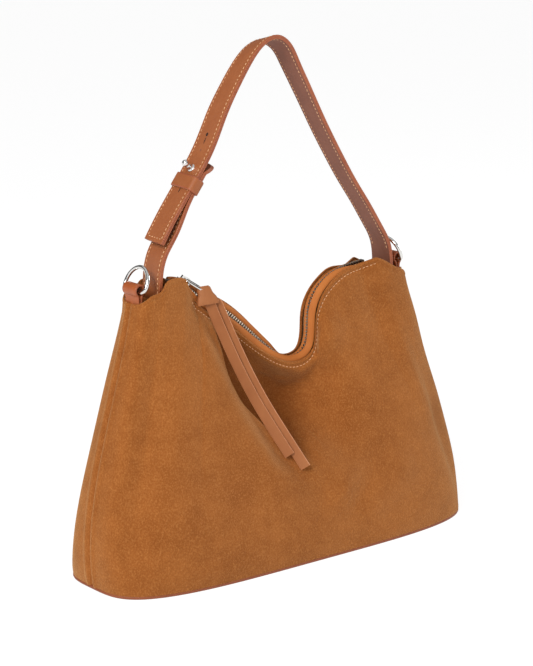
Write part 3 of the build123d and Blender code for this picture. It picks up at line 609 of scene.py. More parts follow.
# %% The lines of the two tails
TAIL_TWIST = 42.0
tail_down, tail_back, tail_across = hanging_axes(TAIL_LEAN)
twist = math.radians(TAIL_TWIST)
band_across = tail_across * math.cos(twist) - tail_back * math.sin(twist)
band_back = tail_back * math.cos(twist) + tail_across * math.sin(twist)


def tail_route(extra, behind, aside):
    """The points of a tail's route; extra lengthens its last run."""
    route = [np.array([down * MM, -out * MM - knot_foot[1]]) for down, out in TAIL_ROUTE]
    last, before = route[-1], route[-2]
    route[-1] = last + (last - before) / np.linalg.norm(last - before) * extra
    offset = band_across * aside + band_back * behind
    return [knot_foot + tail_down * d + tail_back * b + offset for d, b in route]


def spline_points(name, route):
    """A smooth line led by the route, read back as points to state where the lace runs."""
    curve = bpy.data.curves.new(name, "CURVE")
    curve.dimensions = "3D"
    curve.resolution_u = 16
    spline = curve.splines.new("NURBS")
    spline.points.add(len(route) - 1)
    for point, place in zip(spline.points, route):
        point.co = (*place, 1.0)
    spline.order_u = 3
    spline.use_endpoint_u = True
    made = bpy.data.objects.new(name, curve)
    scene.collection.objects.link(made)
    bare = bpy.data.meshes.new_from_object(made)
    line = np.array([tuple(v.co) for v in bare.vertices])
    bpy.data.objects.remove(made)
    return line


# Extra length, distance behind, distance aside and real length of each tail, in metres.
TAILS = {
    "front": (0.0, 0.0, 0.0, 0.130),
    "back": (TAIL_REAR_EXTRA, TAIL_LEATHER + 3 * TAIL_GAP, TAIL_REAR_ASIDE, 0.144),
}
tail_lines = {}
for label, shape in TAILS.items():
    tail_lines[label] = spline_points(f"tail_{label}_line", tail_route(*shape[:3]))
print("tails are", [round(travelled(line)[-1], 4) for line in tail_lines.values()], "m long")

# %% [markdown]
# ## The two suede panels
# Each panel is a skin hung from its top edge and sewn round half of the base. Its rows are spaced
# closely near the zip, because the hide is rolled over a cord there and stitched a few millimetres
# below. The front panel then gets its folds: each is a line with a height and a width on each side,
# as the slack hide forms them below the knot.

# %% Panel skin
BASE_LENGTH, BASE_DEPTH, BASE_SQUARENESS, BASE_THICKNESS = 344 * MM, 116 * MM, 3.7, 2.6 * MM
BELLY, END_BELLY, CORNER_BELLY, FRONT_HOLLOW = 8 * MM, 11 * MM, 4 * MM, 13 * MM
EDGE_ROWS = np.concatenate([np.arange(0, 6, 0.35), np.arange(6, 12, 0.8)]) * MM


def base_outline(side, margin=0.0, count=400):
    """Half of the base's outline, from the left side seam to the right one."""
    angle = np.linspace(0, math.pi, count)
    x = -(BASE_LENGTH / 2 - margin) * np.sign(np.cos(angle)) * abs(np.cos(angle)) ** (2 / BASE_SQUARENESS)
    y = side * (BASE_DEPTH / 2 - margin) * abs(np.sin(angle)) ** (2 / BASE_SQUARENESS)
    return np.stack([x, y, 0 * x], 1)


def panel_skin(side, across=320, up=120):
    """Outer skin: across from the left seam to the right, and down from the zip to the base."""
    u = np.linspace(0, 1, across)
    top = spread(top_edge(side), u)
    foot = spread(base_outline(side), u) + Z_AXIS * BASE_THICKNESS
    along = np.gradient(foot, axis=0)
    outward = side * unit(np.stack([-along[:, 1], along[:, 0], 0 * along[:, 0]], 1))
    height = top[:, 2] - foot[:, 2]
    rise = height[:, None] * Z_AXIS
    flank = (1 - np.clip(np.minimum(u, 1 - u) / 0.12, 0, 1))[:, None]
    corner = (4 * (outward[:, 0] * outward[:, 1]) ** 2)[:, None]
    belly = (BELLY * (1 - flank) + END_BELLY * flank) * (1 - corner) + CORNER_BELLY * corner
    low = foot + outward * belly + rise * (0.30 - 0.20 * corner)
    level = (foot - top) * [1.0, 1.0, 0.0]
    high = top - rise * (0.33 + 0.12 * corner) + level * (0.34 * flank + 0.28 * (1 - flank))
    near = EDGE_ROWS[None, :] / height[:, None]
    rest = near[:, -1:] + (1 - near[:, -1:]) * np.linspace(0, 1, up + 1)[None, 1:]
    v = 1 - np.hstack([near, rest])
    w = v[:, :, None]
    foot, low, high, top = (row[:, None, :] for row in (foot, low, high, top))
    skin = (1 - w) ** 3 * foot + 3 * (1 - w) ** 2 * w * low + 3 * (1 - w) * w**2 * high + w**3 * top
    if side < 0:
        hollow = np.exp(-(((u[:, None] - 0.47) / 0.13) ** 2) - ((v - 0.76) / 0.16) ** 2) * (1 - v) / 0.24
        skin = skin + hollow[:, :, None] * FRONT_HOLLOW * Y_AXIS
    return skin + side * SEAM_GAP * Y_AXIS, v


def outer_normals(skin, side):
    normal = normals(skin)
    return normal if (normal[..., 1].mean() > 0) == (side > 0) else -normal


front_skin, front_v = panel_skin(-1)
back_skin, back_v = panel_skin(1)
print("panel rows", front_skin.shape)

# %% [markdown]
# ## Folds and rolls
# The slack hide hangs from the zip in a few large folds. It is also kept off the hanging lace and
# off the back panel, and its edge rolls over a cord beside the zip.

# %% Folds of the front panel
# Height (mm), width to the left, width to the right (mm) and the line in x and z (mm).
FOLDS = [
    (10.0, 36, 8, [(-84, 214), (-76, 198), (-68, 181), (-63, 165), (-60, 147), (-56, 132), (-48, 118),
                   (-36, 103), (-25, 88), (-8, 70), (14, 48)]),
    (-22.0, 10, 42, [(-62, 198), (-54, 182), (-47, 166), (-43, 150), (-39, 136), (-31, 122), (-19, 106),
                     (-4, 88), (10, 70)]),
    (-15.0, 14, 20, [(-52, 172), (-36, 152), (-20, 136), (-4, 127), (10, 123), (24, 124), (34, 130)]),
    (7.0, 9, 14, [(52, 186), (40, 166), (28, 148), (17, 135), (6, 123), (-6, 112)]),
    (-6.0, 8, 12, [(46, 150), (33, 138), (23, 126), (10, 115), (-3, 107), (-18, 100)]),
    (7.0, 16, 24, [(-12, 96), (1, 84), (12, 71), (29, 52), (42, 39)]),
    (-1.8, 3, 3, [(-58, 156), (-55, 141), (-52, 132), (-48, 123), (-38, 112), (-31, 100)]),
    (2.5, 30, 12, [(112, 190), (119, 165), (124, 130), (127, 95), (130, 68)]),
    (2.5, 14, 16, [(35, 26), (71, 45), (105, 63)]),
    (-2.2, 16, 18, [(60, 187), (89, 180), (86, 150), (70, 120)]),
    (-2.0, 12, 16, [(-120, 175), (-128, 140), (-132, 100)]),
]


print("folds", len(FOLDS))


# %% How the folds lift a skin
def fold_field(x, z, folds):
    """How far the folds lift a skin, in metres, over places given in metres."""
    place = np.stack([x.ravel(), z.ravel()], 1) / MM
    total = np.zeros(len(place))
    for height, left, right, line in folds:
        flat = np.array([(a, 0.0, b) for a, b in line], float)
        dense = smooth(flat, np.linspace(0, 1, 90))[:, [0, 2]]
        away = place[:, None, :] - dense[None, :, :]
        nearest = (away**2).sum(2).argmin(1)
        way = unit(np.gradient(dense, axis=0))[nearest]
        gap = away[np.arange(len(place)), nearest]
        side = way[:, 0] * gap[:, 1] - way[:, 1] * gap[:, 0]
        width = np.where(side > 0, right, left)
        reach = (gap**2).sum(1)
        share = nearest / 89
        fade = np.clip(np.minimum(share, 1 - share) / 0.3, 0, 1)
        fade = fade * fade * (3 - 2 * fade)
        total += height * fade * np.exp(-reach / width**2)
    return total.reshape(x.shape) * MM


def wander(skin, seed, size, depth):
    """Slow unevenness of a slack hide: a few long waves across each other."""
    rng = np.random.default_rng(seed)
    total = 0
    for _ in range(7):
        way = unit(rng.normal(size=3)) / (size * rng.uniform(0.7, 1.6))
        total = total + np.sin(2 * math.pi * (skin @ way) + rng.uniform(0, 6.28))
    return depth * total / 7


# %% Room for the lace and between the panels
TAIL_ROOM = 4.6 * MM
PANEL_ROOM, EASING = 6 * MM, 7 * MM


def kept_back(outer, line, across, behind):
    """Moves a skin back from a hanging band, smoothly, wherever it would touch it."""
    flat = outer[..., [0, 2]].reshape(-1, 2)
    away = flat[:, None, :] - line[None, :, [0, 2]]
    nearest = (away**2).sum(2).argmin(1)
    gap = np.sqrt((away**2).sum(2).min(1))
    limit = line[nearest, 1] + behind
    room = (1 - ramp(gap, across / 2 + 2 * MM, across / 2 + 16 * MM)).reshape(outer.shape[:2])
    push = np.clip(limit.reshape(outer.shape[:2]) - outer[..., 1], 0, None) * room
    kernel = np.hanning(13) / np.hanning(13).sum()
    for axis in (0, 1, 0, 1):
        push = np.apply_along_axis(lambda row: np.convolve(row, kernel, "same"), axis, push)
    return outer + push[..., None] * Y_AXIS


def clear_of_back(outer, behind, from_end):
    """Eases the deepest hollow forward, so that the front never meets the back panel."""
    over = np.clip(outer[..., 1] - (behind[..., 1] - PANEL_ROOM - EASING), 0, None)
    eased = (over - EASING * (1 - np.exp(-over / EASING))) * ramp(from_end, 30 * MM, 70 * MM)
    print("hollow eased by at most", round(eased.max() * 1000, 1), "mm")
    return outer - eased[..., None] * Y_AXIS


# %% Both panels
def finished_panel(name, side, skin, v, stands_for, behind=None):
    """Folds and rolls a skin, makes the panel of it and returns the outer side."""
    normal = outer_normals(skin, side)
    x, z = skin[..., 0], skin[..., 2]
    height = skin[:, :1, 2] - skin[:, -1:, 2]
    from_top = (1 - v) * height
    from_end = np.minimum(travelled(skin[:, 60]), travelled(skin[::-1, 60])[::-1])[:, None]
    depth = wander(skin, 5 + side, 0.085, 1.4 * MM)
    if side < 0:
        depth = depth + fold_field(x, z, FOLDS) * ramp(from_top, 0, 14 * MM)
    depth = depth * ramp(from_top, 0, 12 * MM) * ramp(v, 0, 0.07) * ramp(from_end, 0, 14 * MM)
    seam = 0.9 * np.exp(-((from_end / MM - 3.4) / 2.0) ** 2) - 1.3 * np.exp(-((from_end / MM / 1.3) ** 2))
    on_zip = ramp(x, -86 * MM, -78 * MM) * (1 - ramp(x, 96 * MM, 102 * MM))
    roll = (0.75 * np.exp(-((from_top / MM - 1.4) / 1.0) ** 2)
            - 0.45 * np.exp(-((from_top / MM - 3.3) / 0.9) ** 2))
    depth = depth + (seam + roll * (0.3 + 0.7 * on_zip)) * MM
    outer = skin + normal * depth[..., None]
    close = np.exp(-((from_end / MM / 2.5) ** 2))
    outer = outer - side * (SEAM_GAP - 0.04 * MM) * close[..., None] * Y_AXIS
    if side < 0:
        outer = clear_of_back(outer, behind, from_end)
        for line in tail_lines.values():
            outer = kept_back(outer, line[6::6], TAIL_WIDTH, TAIL_ROOM)
    inner = outer - outer_normals(outer, side) * SUEDE
    band(name, outer, inner, [suede] * 3, 1.0, 5, stands_for=stands_for, sharp=60)
    return outer


back_outer = finished_panel("back_panel_suede", 1, back_skin, back_v, ["back_panel"])
front_outer = finished_panel("front_panel_suede", -1, front_skin, front_v, ["front_panel"], back_outer)
print("panels", [round(v * 1000, 1) for v in front_outer.reshape(-1, 3).min(0)])

# %% [markdown]
# ## Linings
# The cloth lining hangs against the hide and takes on its folds. So it is made from every second
# point of the finished panel, set in by the hide's thickness and a small gap.

# %% Linings, which follow the folded hide
for side, outer, label in ((-1, front_outer, "front"), (1, back_outer, "back")):
    inward = outer_normals(outer, side)[4:-4:2, 14:-4:2]
    hide = outer[4:-4:2, 14:-4:2] - inward * (SUEDE + LINING_GAP)
    band(f"lining_{label}_cloth", hide, hide - inward * LINING, [lining_cloth] * 3, 0.6, 1,
         stands_for=[f"lining_{label}"], sharp=60)
print("linings hung")

# %% [markdown]
# ## Stitches
# A stitch is a short capsule of thread that dips at both ends. One helper lays a whole seam of them
# on a surface as a single mesh.

# %% Stitch helper
THREAD_RADIUS, THREAD_SHARE, THREAD_SINK = 0.32 * MM, 0.66, 0.35


def stitches(name, path, up, pitch, body):
    """Capsules every pitch along path; up is the surface's direction at each point of the path."""
    run = travelled(path)
    count = int(run[-1] / pitch)
    points, faces = [], []
    rings, sides = 5, 6
    for i in range(count):
        ends = [run[-1] * (i + 0.5) / count + s * pitch * THREAD_SHARE / 2 for s in (-1, 1)]
        first, last = (sampled(path, run, e) for e in ends)
        here = sampled(up, run, sum(ends) / 2)
        here = here / np.linalg.norm(here)
        side = np.cross(unit(last - first), here)
        start = len(points)
        for k in range(rings):
            s = k / (rings - 1)
            swell = math.sin(math.pi * (0.12 + 0.76 * s))
            centre = first + (last - first) * s + here * THREAD_RADIUS * (swell - THREAD_SINK - 0.3)
            for j in range(sides):
                angle = 2 * math.pi * j / sides
                round_it = side * math.cos(angle) + here * math.sin(angle)
                points.append(centre + THREAD_RADIUS * swell * round_it)
        faces += rod_faces(rings, sides, start)
    return build(name, points, faces, [thread], body=body, sharp=80)


def inward_line(outer, side, depth, keep):
    """The line on a panel's skin that lies the given depth below its top edge, with its normals."""
    normal = outer_normals(outer, side)
    line, ups = [], []
    for column, up in zip(outer[keep], normal[keep]):
        run = travelled(column)
        line.append(sampled(column, run, depth))
        ups.append(sampled(up, run, depth))
    return np.array(line), np.array(ups)


TOPSTITCH_DEPTH, TOPSTITCH_PITCH = 4.6 * MM, 3.2 * MM
for side, outer, label in ((-1, front_outer, "front"), (1, back_outer, "back")):
    line, ups = inward_line(outer, side, TOPSTITCH_DEPTH, slice(66, 276))
    stitches(f"topstitch_{label}", line, ups, TOPSTITCH_PITCH, "bag")
print("topstitch rows laid")

# %% [markdown]
# ## The base
# A leather panel closes the bottom; its rim shows as a thin line under the suede. The board and the
# cloth inside are the solids as they are, in their own finishes.

# %% Base
base_rim = np.vstack([base_outline(-1, 0, 200), base_outline(1, 0, 200)[::-1][1:-1]])
profile = [(0.0, 0.0), (-0.5, -0.25), (-1.0, -0.9), (-1.0, -1.6), (-0.5, -2.35), (0.0, -2.6)]
outward = unit(base_rim * [1, 1, 0])
layers = [base_rim + Z_AXIS * BASE_THICKNESS + outward * (0.4 - 0.9 * (1 + dx)) * MM + Z_AXIS * dz * MM
          for dx, dz in profile]
layers = [base_rim * [0.97, 0.97, 0] + Z_AXIS * BASE_THICKNESS] + layers + [base_rim * [0.97, 0.97, 0]]
build("base_leather_panel", np.vstack(layers), rod_faces(len(layers), len(base_rim)), [base_leather],
      stands_for=["base_panel"])
paint(board, "base_board")
paint(lining_cloth, "lining_base")
print("base rim at", [round(v, 4) for v in layers[2].min(0)])

# %% [markdown]
# ## The zip
# Two domed leather facings run beside the chain, on tapes that carry the teeth. Beyond the slider
# the two rows stand apart. Each tooth is a small block with a waist, laid at its own place.

# %% Strips along the zip
def zip_strip(run, inner, outer, height, across, dome=0.0, crest=1.0):
    """A strip along the zip between two distances from its middle; crest moves the dome sideways."""
    shares = np.linspace(*run)
    middle, along, side_way, up = zip_frame(shares)
    inner, outer = inner + 0 * shares, outer + 0 * shares
    rows = []
    for blend in np.linspace(0, 1, across):
        width = (inner + (outer - inner) * blend)[:, None]
        domed = dome * np.sin(math.pi * blend ** crest) ** 0.7
        rise = height + domed - ZIP_DOME * (width / ZIP_HALF_WIDTH) ** 2
        rows.append(middle + side_way * width + up * rise)
    return np.stack(rows, 1), up[:, None, :]


print("strips follow", len(ZIP_PATH), "points of the zip")

# %% Facings
FACING_RUN = (0.03, 0.975, 300)


def facing(name, side):
    """A domed leather facing; it closes on the chain as the zip rises to its right end."""
    shares = np.linspace(*FACING_RUN)
    rising = ramp(shares, 0.46, 0.56)
    lap = CHAIN_OPENING + (FACING_LAP - CHAIN_OPENING) * ramp(shares, 0.135, 0.175)
    if side < 0:
        closing = ramp(shares, 0.84, 0.975)
        lap = lap + 0.2 * MM * rising + 2.6 * MM * closing
        edge = FACING_EDGE - 0.8 * MM * rising
        height = (-0.8 + 1.0 * rising - 2.4 * closing) * MM
        dome = FACING_DOME * (1 - 0.1 * rising - 0.6 * closing)
        crest = 1 - 0.4 * rising
    else:
        lap = lap - 0.2 * MM * rising
        edge = FACING_EDGE - 1.4 * MM * rising
        height = (-0.8 - 0.9 * rising) * MM
        dome = FACING_DOME * (1 - 0.75 * rising)
        crest = 1 + 0 * rising
    top, up = zip_strip(FACING_RUN, side * lap, side * edge, height[:, None], 13, dome[:, None],
                        crest[:, None])
    band(f"zip_facing_{name}_leather", top, top - up * FACING, [facing_leather] * 3, 1.0, 4,
         stands_for=[f"zip_facing_{name}"])


print("facing reaches", round(FACING_EDGE * 1000, 1), "mm from the chain's middle")

# %% Tapes
TAPE_RUN = (0.02, 0.985, 260)


def parting(share):
    """How far each row of teeth stands aside, beyond the slider."""
    return TOOTH_PARTING * np.clip((SLIDER_PLACE - share) / 0.012, 0, 1)


def tape(name, side):
    """A woven tape under the facing, which parts with its teeth."""
    inner = side * (TAPE_START - 0.6 * MM + parting(np.linspace(*TAPE_RUN)))
    top, up = zip_strip(TAPE_RUN, inner, side * TAPE_END, -2.1 * MM, 5)
    band(f"zip_tape_{name}_cloth", top, top - up * TAPE, [tape_cloth] * 3, 0.5, 1,
         stands_for=[f"zip_tape_{name}"])


print("rows part by", round(parting(0.0) * 1000, 1), "mm beyond the slider")

# %% Teeth
TEETH_START, TEETH_END = 0.035, 0.965
# From root to tip of a tooth: place, width and height as shares.
TOOTH_SHAPE = [
    (0.0, 0.62, 0.80), (0.18, 0.66, 1.0), (0.45, 0.60, 1.0),
    (0.62, 0.34, 0.9), (0.80, 0.52, 0.95), (1.0, 0.36, 0.7),
]


def teeth(name, side):
    """One row of teeth as a single mesh; the two rows stand half a pitch apart."""
    points, faces = [], []
    place = TEETH_START * ZIP_LENGTH + (0.0 if side < 0 else TOOTH_PITCH / 2)
    while place < TEETH_END * ZIP_LENGTH:
        share = place / ZIP_LENGTH
        aside = float(parting(share))
        middle, along, across, up = (v[0] for v in zip_frame([share]))
        root, tip = side * (TOOTH_REACH + aside), side * (aside - TOOTH_OVERLAP)
        seat = middle - up * (FACING + TAPE / 2)
        start = len(points)
        for blend, wide, tall in TOOTH_SHAPE:
            centre = seat + across * (root + (tip - root) * blend)
            a, b = along * TOOTH_LENGTH * wide * 0.85, up * TOOTH_HEIGHT / 2 * tall
            ring = [a * 0.6 + b, a + b * 0.6, a - b * 0.6, a * 0.6 - b,
                    -a * 0.6 - b, -a - b * 0.6, -a + b * 0.6, -a * 0.6 + b]
            points += [centre + r for r in ring]
        faces += rod_faces(len(TOOTH_SHAPE), 8, start)
        place += TOOTH_PITCH
    build(f"zip_teeth_{name}_metal", points, faces, [teeth_metal], sharp=50,
          stands_for=[f"zip_teeth_{name}"])


for name, side in (("front", -1), ("back", 1)):
    facing(name, side)
    tape(name, side)
    teeth(name, side)
paint(teeth_metal, "zip_top_stop", "zip_bottom_stop")
paint(chrome, "zip_slider", "zip_pull_ring")
print("zip dressed")

# %% [markdown]
# ## The lace
# Each tail is a flat band of leather along its line, dark on its flesh side and pale where it is cut.
# It rides on the lace's own body, so it goes on hanging when the ring lifts.

# %% Lace tails
for label, path in tail_lines.items():
    run = travelled(path)
    where = np.linspace(0, run[-1], 90)
    line = sampled(path, run, where)
    way = unit(np.gradient(line, axis=0))
    out = unit(np.cross(band_across, way))
    out = out if out[40][1] < 0 else -out
    side_way = np.cross(way, out)
    side_way = side_way if side_way[40][0] > 0 else -side_way
    half = np.linspace(-0.5, 0.5, 9) * TAIL_WIDTH
    outer = (line + out * TAIL_LEATHER / 2)[:, None, :] + side_way[:, None, :] * half[None, :, None]
    inner = outer - out[:, None, :] * TAIL_LEATHER
    tail = band(f"lace_tail_{label}", outer, inner, [lace_leather, lace_flesh, lace_edge], 0.35, 2,
                body="lace", stands_for=[f"pull_tail_{label}"])
    print("tail", label, "is", round(run[-1], 4), "m")

# %% [markdown]
# ## The knot
# The folded knot is widest at its foot, where the tails leave. It is one strip whose rows give how
# far across, how wide, how far forward and how thick the fold is on the way down.

# %% Knot
# Rows of the folded strip in mm: down, across, half width, front and thickness.
KNOT_ROWS = [
    (-0.6, -0.6, 3.6, 1.2, 2.6), (0.6, -0.4, 4.1, 2.1, 4.2), (2.6, -0.1, 4.2, 2.4, 4.6),
    (5.0, 0.3, 4.5, 2.4, 4.6), (6.6, 0.6, 5.2, 2.5, 4.8), (8.0, 0.7, 6.0, 2.6, 5.0),
    (10.6, 0.9, 6.8, 2.5, 4.8), (12.6, 1.0, 7.3, 2.3, 4.4), (13.6, 1.1, 7.4, 1.7, 3.2),
]
bow = -knot_back * 0.5 * MM
outer, inner = [], []
for down, aside, half, front, thick in KNOT_ROWS:
    centre = knot_top + knot_down * down * MM + knot_across * aside * MM - knot_back * front * MM
    edge = [centre + knot_across * half * MM * s + bow * (1 - s * s) for s in np.linspace(-1, 1, 9)]
    outer.append(edge)
    inner.append([p + knot_back * thick * MM for p in edge])
band("lace_knot", np.array(outer), np.array(inner), [lace_leather] * 3, 0.6, 3, body="lace",
     stands_for=["pull_knot"])
print("knot tied")

# %% [markdown]
# ## The strap
# Two layers of leather, glued back to back, make each strap; the edge is painted. The long strap
# arches over from the right shoulder and laps over the short one, held by a stud and a keeper.

# %% Strap lines
STRAP_SPAN, STRAP_RISE, STRAP_YAW, STRAP_GAP = 224 * MM, 180 * MM, 7.0, 0.3 * MM
STRAP_THICKNESS = STRAP_LEATHER + GLUE_GAP + STRAP_LINING
STRAP_MIDDLE, RIGHT_ENTRY = TOP_OFFSET + 2.0 * MM, TOP_HEIGHT * 0.955
ROOT_RADIUS = 13.2 * MM
ARCH = [
    (-1.000, 0.222, 0), (-0.899, 0.317, 0), (-0.796, 0.403, 0), (-0.688, 0.492, 0),
    (-0.585, 0.589, 0), (-0.476, 0.722, -3), (-0.379, 0.819, -6), (-0.272, 0.911, -9),
    (-0.165, 0.975, -12), (-0.036, 1.000, -13), (0.080, 0.961, -10), (0.141, 0.903, -6),
    (0.236, 0.800, -3), (0.333, 0.694, 0), (0.431, 0.589, 0), (0.540, 0.480, 0),
    (0.660, 0.367, 0), (0.790, 0.256, 0), (0.905, 0.150, 0), (0.973, 0.078, 0),
    (0.999, 0.010, 0), (1.000, -0.120, 0),
]
SHORT_ROOT = [(-1.018, -0.100), (-1.018, 0.050), (-1.010, 0.117), (-0.989, 0.183)]
SHORT_LAP = (0.040, 0.170)
LEFT_HINGE, RIGHT_HINGE = TOP_HEIGHT * 0.973 + 5 * MM, TOP_HEIGHT * 0.926 + 5 * MM
FLAT_ACROSS = np.array([math.sin(math.radians(STRAP_YAW)), math.cos(math.radians(STRAP_YAW)), 0.0])


def strap_point(sx, sz):
    return np.array([STRAP_MIDDLE + sx * STRAP_SPAN / 2, 0.0, RIGHT_ENTRY + sz * STRAP_RISE])


def arch_frame(shares, depth=0.0):
    """Points of the arch below its outer face by depth, with directions along, across and out."""
    path = [(*strap_point(x, z), tilt) for x, z, tilt in ARCH]
    shares = np.asarray(shares, float)
    here = smooth(path, shares)
    along = unit((smooth(path, shares + 1e-3) - smooth(path, shares - 1e-3))[:, :3])
    out = square_to(along)
    tilt = np.radians(here[:, 3])[:, None]
    across = unit(FLAT_ACROSS * np.cos(tilt) + Z_AXIS * np.sin(tilt))
    return here[:, :3] - out * depth, along, across, out


print("strap's top at", round(float(arch_frame([0.5])[0][0, 2]), 3), "m")

# %% Grids of points for both straps
ARCH_LENGTH = travelled(arch_frame(np.linspace(0, 1, 600))[0])[-1]
STUD_SHARE = 0.146
KEEPER_SHARE = STUD_SHARE - 11.4 * MM / ARCH_LENGTH
BELLY_OFF, TIP_OFF = 4.0 * MM, 8.0 * MM
OFFSETS = np.linspace(-STRAP_WIDTH / 2, STRAP_WIDTH / 2, 17)


def long_grid(depth, count=260):
    shares = np.linspace(0.8, 1, 400)
    hinge = float(np.interp(-RIGHT_HINGE, -arch_frame(shares)[0][:, 2], shares))
    columns = []
    for offset in OFFSETS:
        end = hinge + math.sqrt(ROOT_RADIUS**2 - offset**2) / ARCH_LENGTH
        middle, along, across, out = arch_frame(np.linspace(0, end, count), depth)
        columns.append(middle + across * offset)
    return np.stack(columns, 1)


def short_path(depth):
    """Middle line of the short strap below its outer face by depth, from its root to its tip."""
    root = [strap_point(x, z) for x, z in SHORT_ROOT]
    lap = arch_frame(np.linspace(*SHORT_LAP, 12), STRAP_THICKNESS + STRAP_GAP)[0]
    line = smooth(np.vstack([root, lap]), np.linspace(0, 1, 200))
    along = unit(np.gradient(line, axis=0))
    run = travelled(line)
    held = run[-1] - (SHORT_LAP[1] - KEEPER_SHARE) * ARCH_LENGTH
    pinned = run[-1] - (SHORT_LAP[1] - STUD_SHARE) * ARCH_LENGTH
    below = np.clip((run - 0.30 * held) / (0.66 * held), 0, 1)
    beyond = np.clip((run - pinned) / (run[-1] - pinned), 0, 1)
    stand_off = BELLY_OFF * np.sin(math.pi * below) ** 2 + TIP_OFF * beyond ** 1.1
    return line - square_to(along) * (depth + stand_off)[:, None]


def short_grid(depth, count=120):
    path = short_path(depth)
    run = travelled(path)
    hinge = float(np.interp(LEFT_HINGE, path[:100, 2], run[:100]))
    tip_radius = STRAP_WIDTH * 0.52
    columns = []
    for offset in OFFSETS:
        start = hinge - math.sqrt(ROOT_RADIUS**2 - offset**2)
        end = run[-1] - tip_radius + math.sqrt(tip_radius**2 - offset**2)
        where = start + (end - start) * np.linspace(0, 1, count)
        columns.append(sampled(path, run, where) + FLAT_ACROSS * offset)
    return np.stack(columns, 1)


print("arch length", round(ARCH_LENGTH, 4))

# %% Strap layers
glue_line = STRAP_LEATHER + GLUE_GAP / 2
for label, grid_at in (("long", long_grid), ("short", short_grid)):
    band(f"strap_{label}_top_leather", grid_at(0.0), grid_at(glue_line),
         [strap_leather, strap_leather, edge_paint], 0.45, 3, body="strap",
         stands_for=[f"strap_{label}_leather"])
    band(f"strap_{label}_flesh_side", grid_at(glue_line), grid_at(STRAP_THICKNESS),
         [strap_flesh_and_shade, strap_flesh_and_shade, edge_paint], 0.35, 3, body="strap",
         stands_for=[f"strap_{label}_lining"])
paint(strap_leather, "strap_root_left", "strap_root_right")
paint(chrome, "stud_screw", "d_ring_left", "d_ring_right")
paint(suede, "top_gusset_left", "top_gusset_right")
paint(lining_cloth, "inner_pocket")
print("strap layers laid")

# %% [markdown]
# ## Keeper and stud
# The keeper is a loop of the same leather; the stud is turned from one rod with a ball at its end.
# Each is a profile moved round a line, so a small helper makes it. Thin dark discs, let into the
# leather, stand for the punched hole and slits; their dark colour is painted shade inside the openings.

# %% Keeper loop
def closed_loop(name, centre, along, across, out, half_width, half_height, wall, length, finishes, **rest):
    """A leather loop: a rounded frame round the strap, length long."""
    corner = min(half_width, half_height) * 0.55
    frame_line = []
    for sx, sy, first in ((1, 1, 0), (-1, 1, 90), (-1, -1, 180), (1, -1, 270)):
        for a in np.radians(np.linspace(first, first + 90, 7)):
            frame_line.append((sx * (half_width - corner) + corner * math.cos(a),
                               sy * (half_height - corner) + corner * math.sin(a)))
    frame_line = np.array(frame_line)
    way = unit(np.roll(frame_line, -1, 0) - np.roll(frame_line, 1, 0))
    face_out = np.stack([way[:, 1], -way[:, 0]], 1)
    points, faces, kinds = [], [], []
    section = [(-0.5, 0.75), (-0.47, 0.95), (-0.40, 1.0), (0.40, 1.0),
               (0.47, 0.95), (0.5, 0.75), (0.5, 0.0), (-0.5, 0.0)]
    for p, n in zip(frame_line, face_out):
        for s_along, s_wall in section:
            q = p + n * wall * s_wall
            points.append(centre + along * length * s_along + across * q[0] + out * q[1])
    count, ring = len(frame_line), len(section)
    for r in range(count):
        for k in range(ring):
            a, b = r * ring + k, r * ring + (k + 1) % ring
            c, d = (r + 1) % count * ring + (k + 1) % ring, (r + 1) % count * ring + k
            faces.append((a, b, c, d))
            kinds.append(1 if k in (0, 1, 3, 4) else 0)
    return build(name, points, faces, finishes, kinds, sharp=50, **rest)


place, along, across, out = (v[0] for v in arch_frame([KEEPER_SHARE], STRAP_THICKNESS + STRAP_GAP / 2))
closed_loop("strap_keeper_loop", place, along, across, out, 13.2 * MM, 3.9 * MM, 1.5 * MM, 11 * MM,
            [strap_leather, edge_paint], body="keeper", stands_for=["strap_keeper"])
print("keeper at", [round(float(v), 4) for v in place])

# %% Stud, spare hole and punch marks
def turned(name, centre, axis, profile, finish, sides=28, **rest):
    """A turned piece: (radius, height) pairs along its axis, closed at both ends."""
    first = unit(np.cross(axis, Y_AXIS))
    second = np.cross(axis, first)
    angle = np.linspace(0, 2 * math.pi, sides, endpoint=False)[:, None]
    rings = [centre + axis * h + r * (first * np.cos(angle) + second * np.sin(angle)) for r, h in profile]
    return build(name, np.vstack(rings), rod_faces(len(profile), sides), [finish], **rest)


place, along, across, out = (v[0] for v in arch_frame([STUD_SHARE]))
ball = [(2.75 * math.sin(a), 7.0 + 2.75 * -math.cos(a)) for a in np.linspace(0.62, math.pi - 0.02, 12)]
stud_shape = [(1.4, -6.0), (1.4, 0.0), (3.2, 0.05), (3.3, 0.5),
              (3.0, 1.0), (2.4, 1.3), (2.1, 2.0), (2.0, 4.0)] + ball
turned("strap_stud", place, out, [(r * MM, h * MM) for r, h in stud_shape], chrome, body="strap",
       stands_for=["stud_post"], sharp=45)
# The dark colour of these discs is painted shade: it stands for the shadow inside the punched hole and
# slits.
hole_shade = leather("painted_hole_shade", rgb(48, 24, 14), rgb(60, 32, 20), gloss=0.8)
# The last disc is only a small darker spot on the strap, in the underside leather's colour.
for label, ahead, aside, long_half, wide_half, finish in (
        ("spare_hole", 27.5, 0.4, 1.5, 1.5, hole_shade), ("spare_slit", 22.6, 0.2, 2.6, 0.5, hole_shade),
        ("stud_slit", -18.5, 0.2, 2.2, 0.5, hole_shade), ("faint_dark_mark", 15.0, 0.3, 1.1, 0.7, strap_flesh_and_shade)):
    place, along, across, out = (v[0] for v in arch_frame([STUD_SHARE + ahead * MM / ARCH_LENGTH]))
    rim = [place + across * aside * MM + along * long_half * MM * math.cos(a)
           + across * wide_half * MM * math.sin(a)
           for a in np.linspace(0, 2 * math.pi, 20, endpoint=False)]
    points = [p + out * 0.06 * MM for p in rim] + [p - out * 0.30 * MM for p in rim]
    build(f"strap_{label}", points, rod_faces(2, 20), [finish], body="strap", sharp=30)
print("stud set")

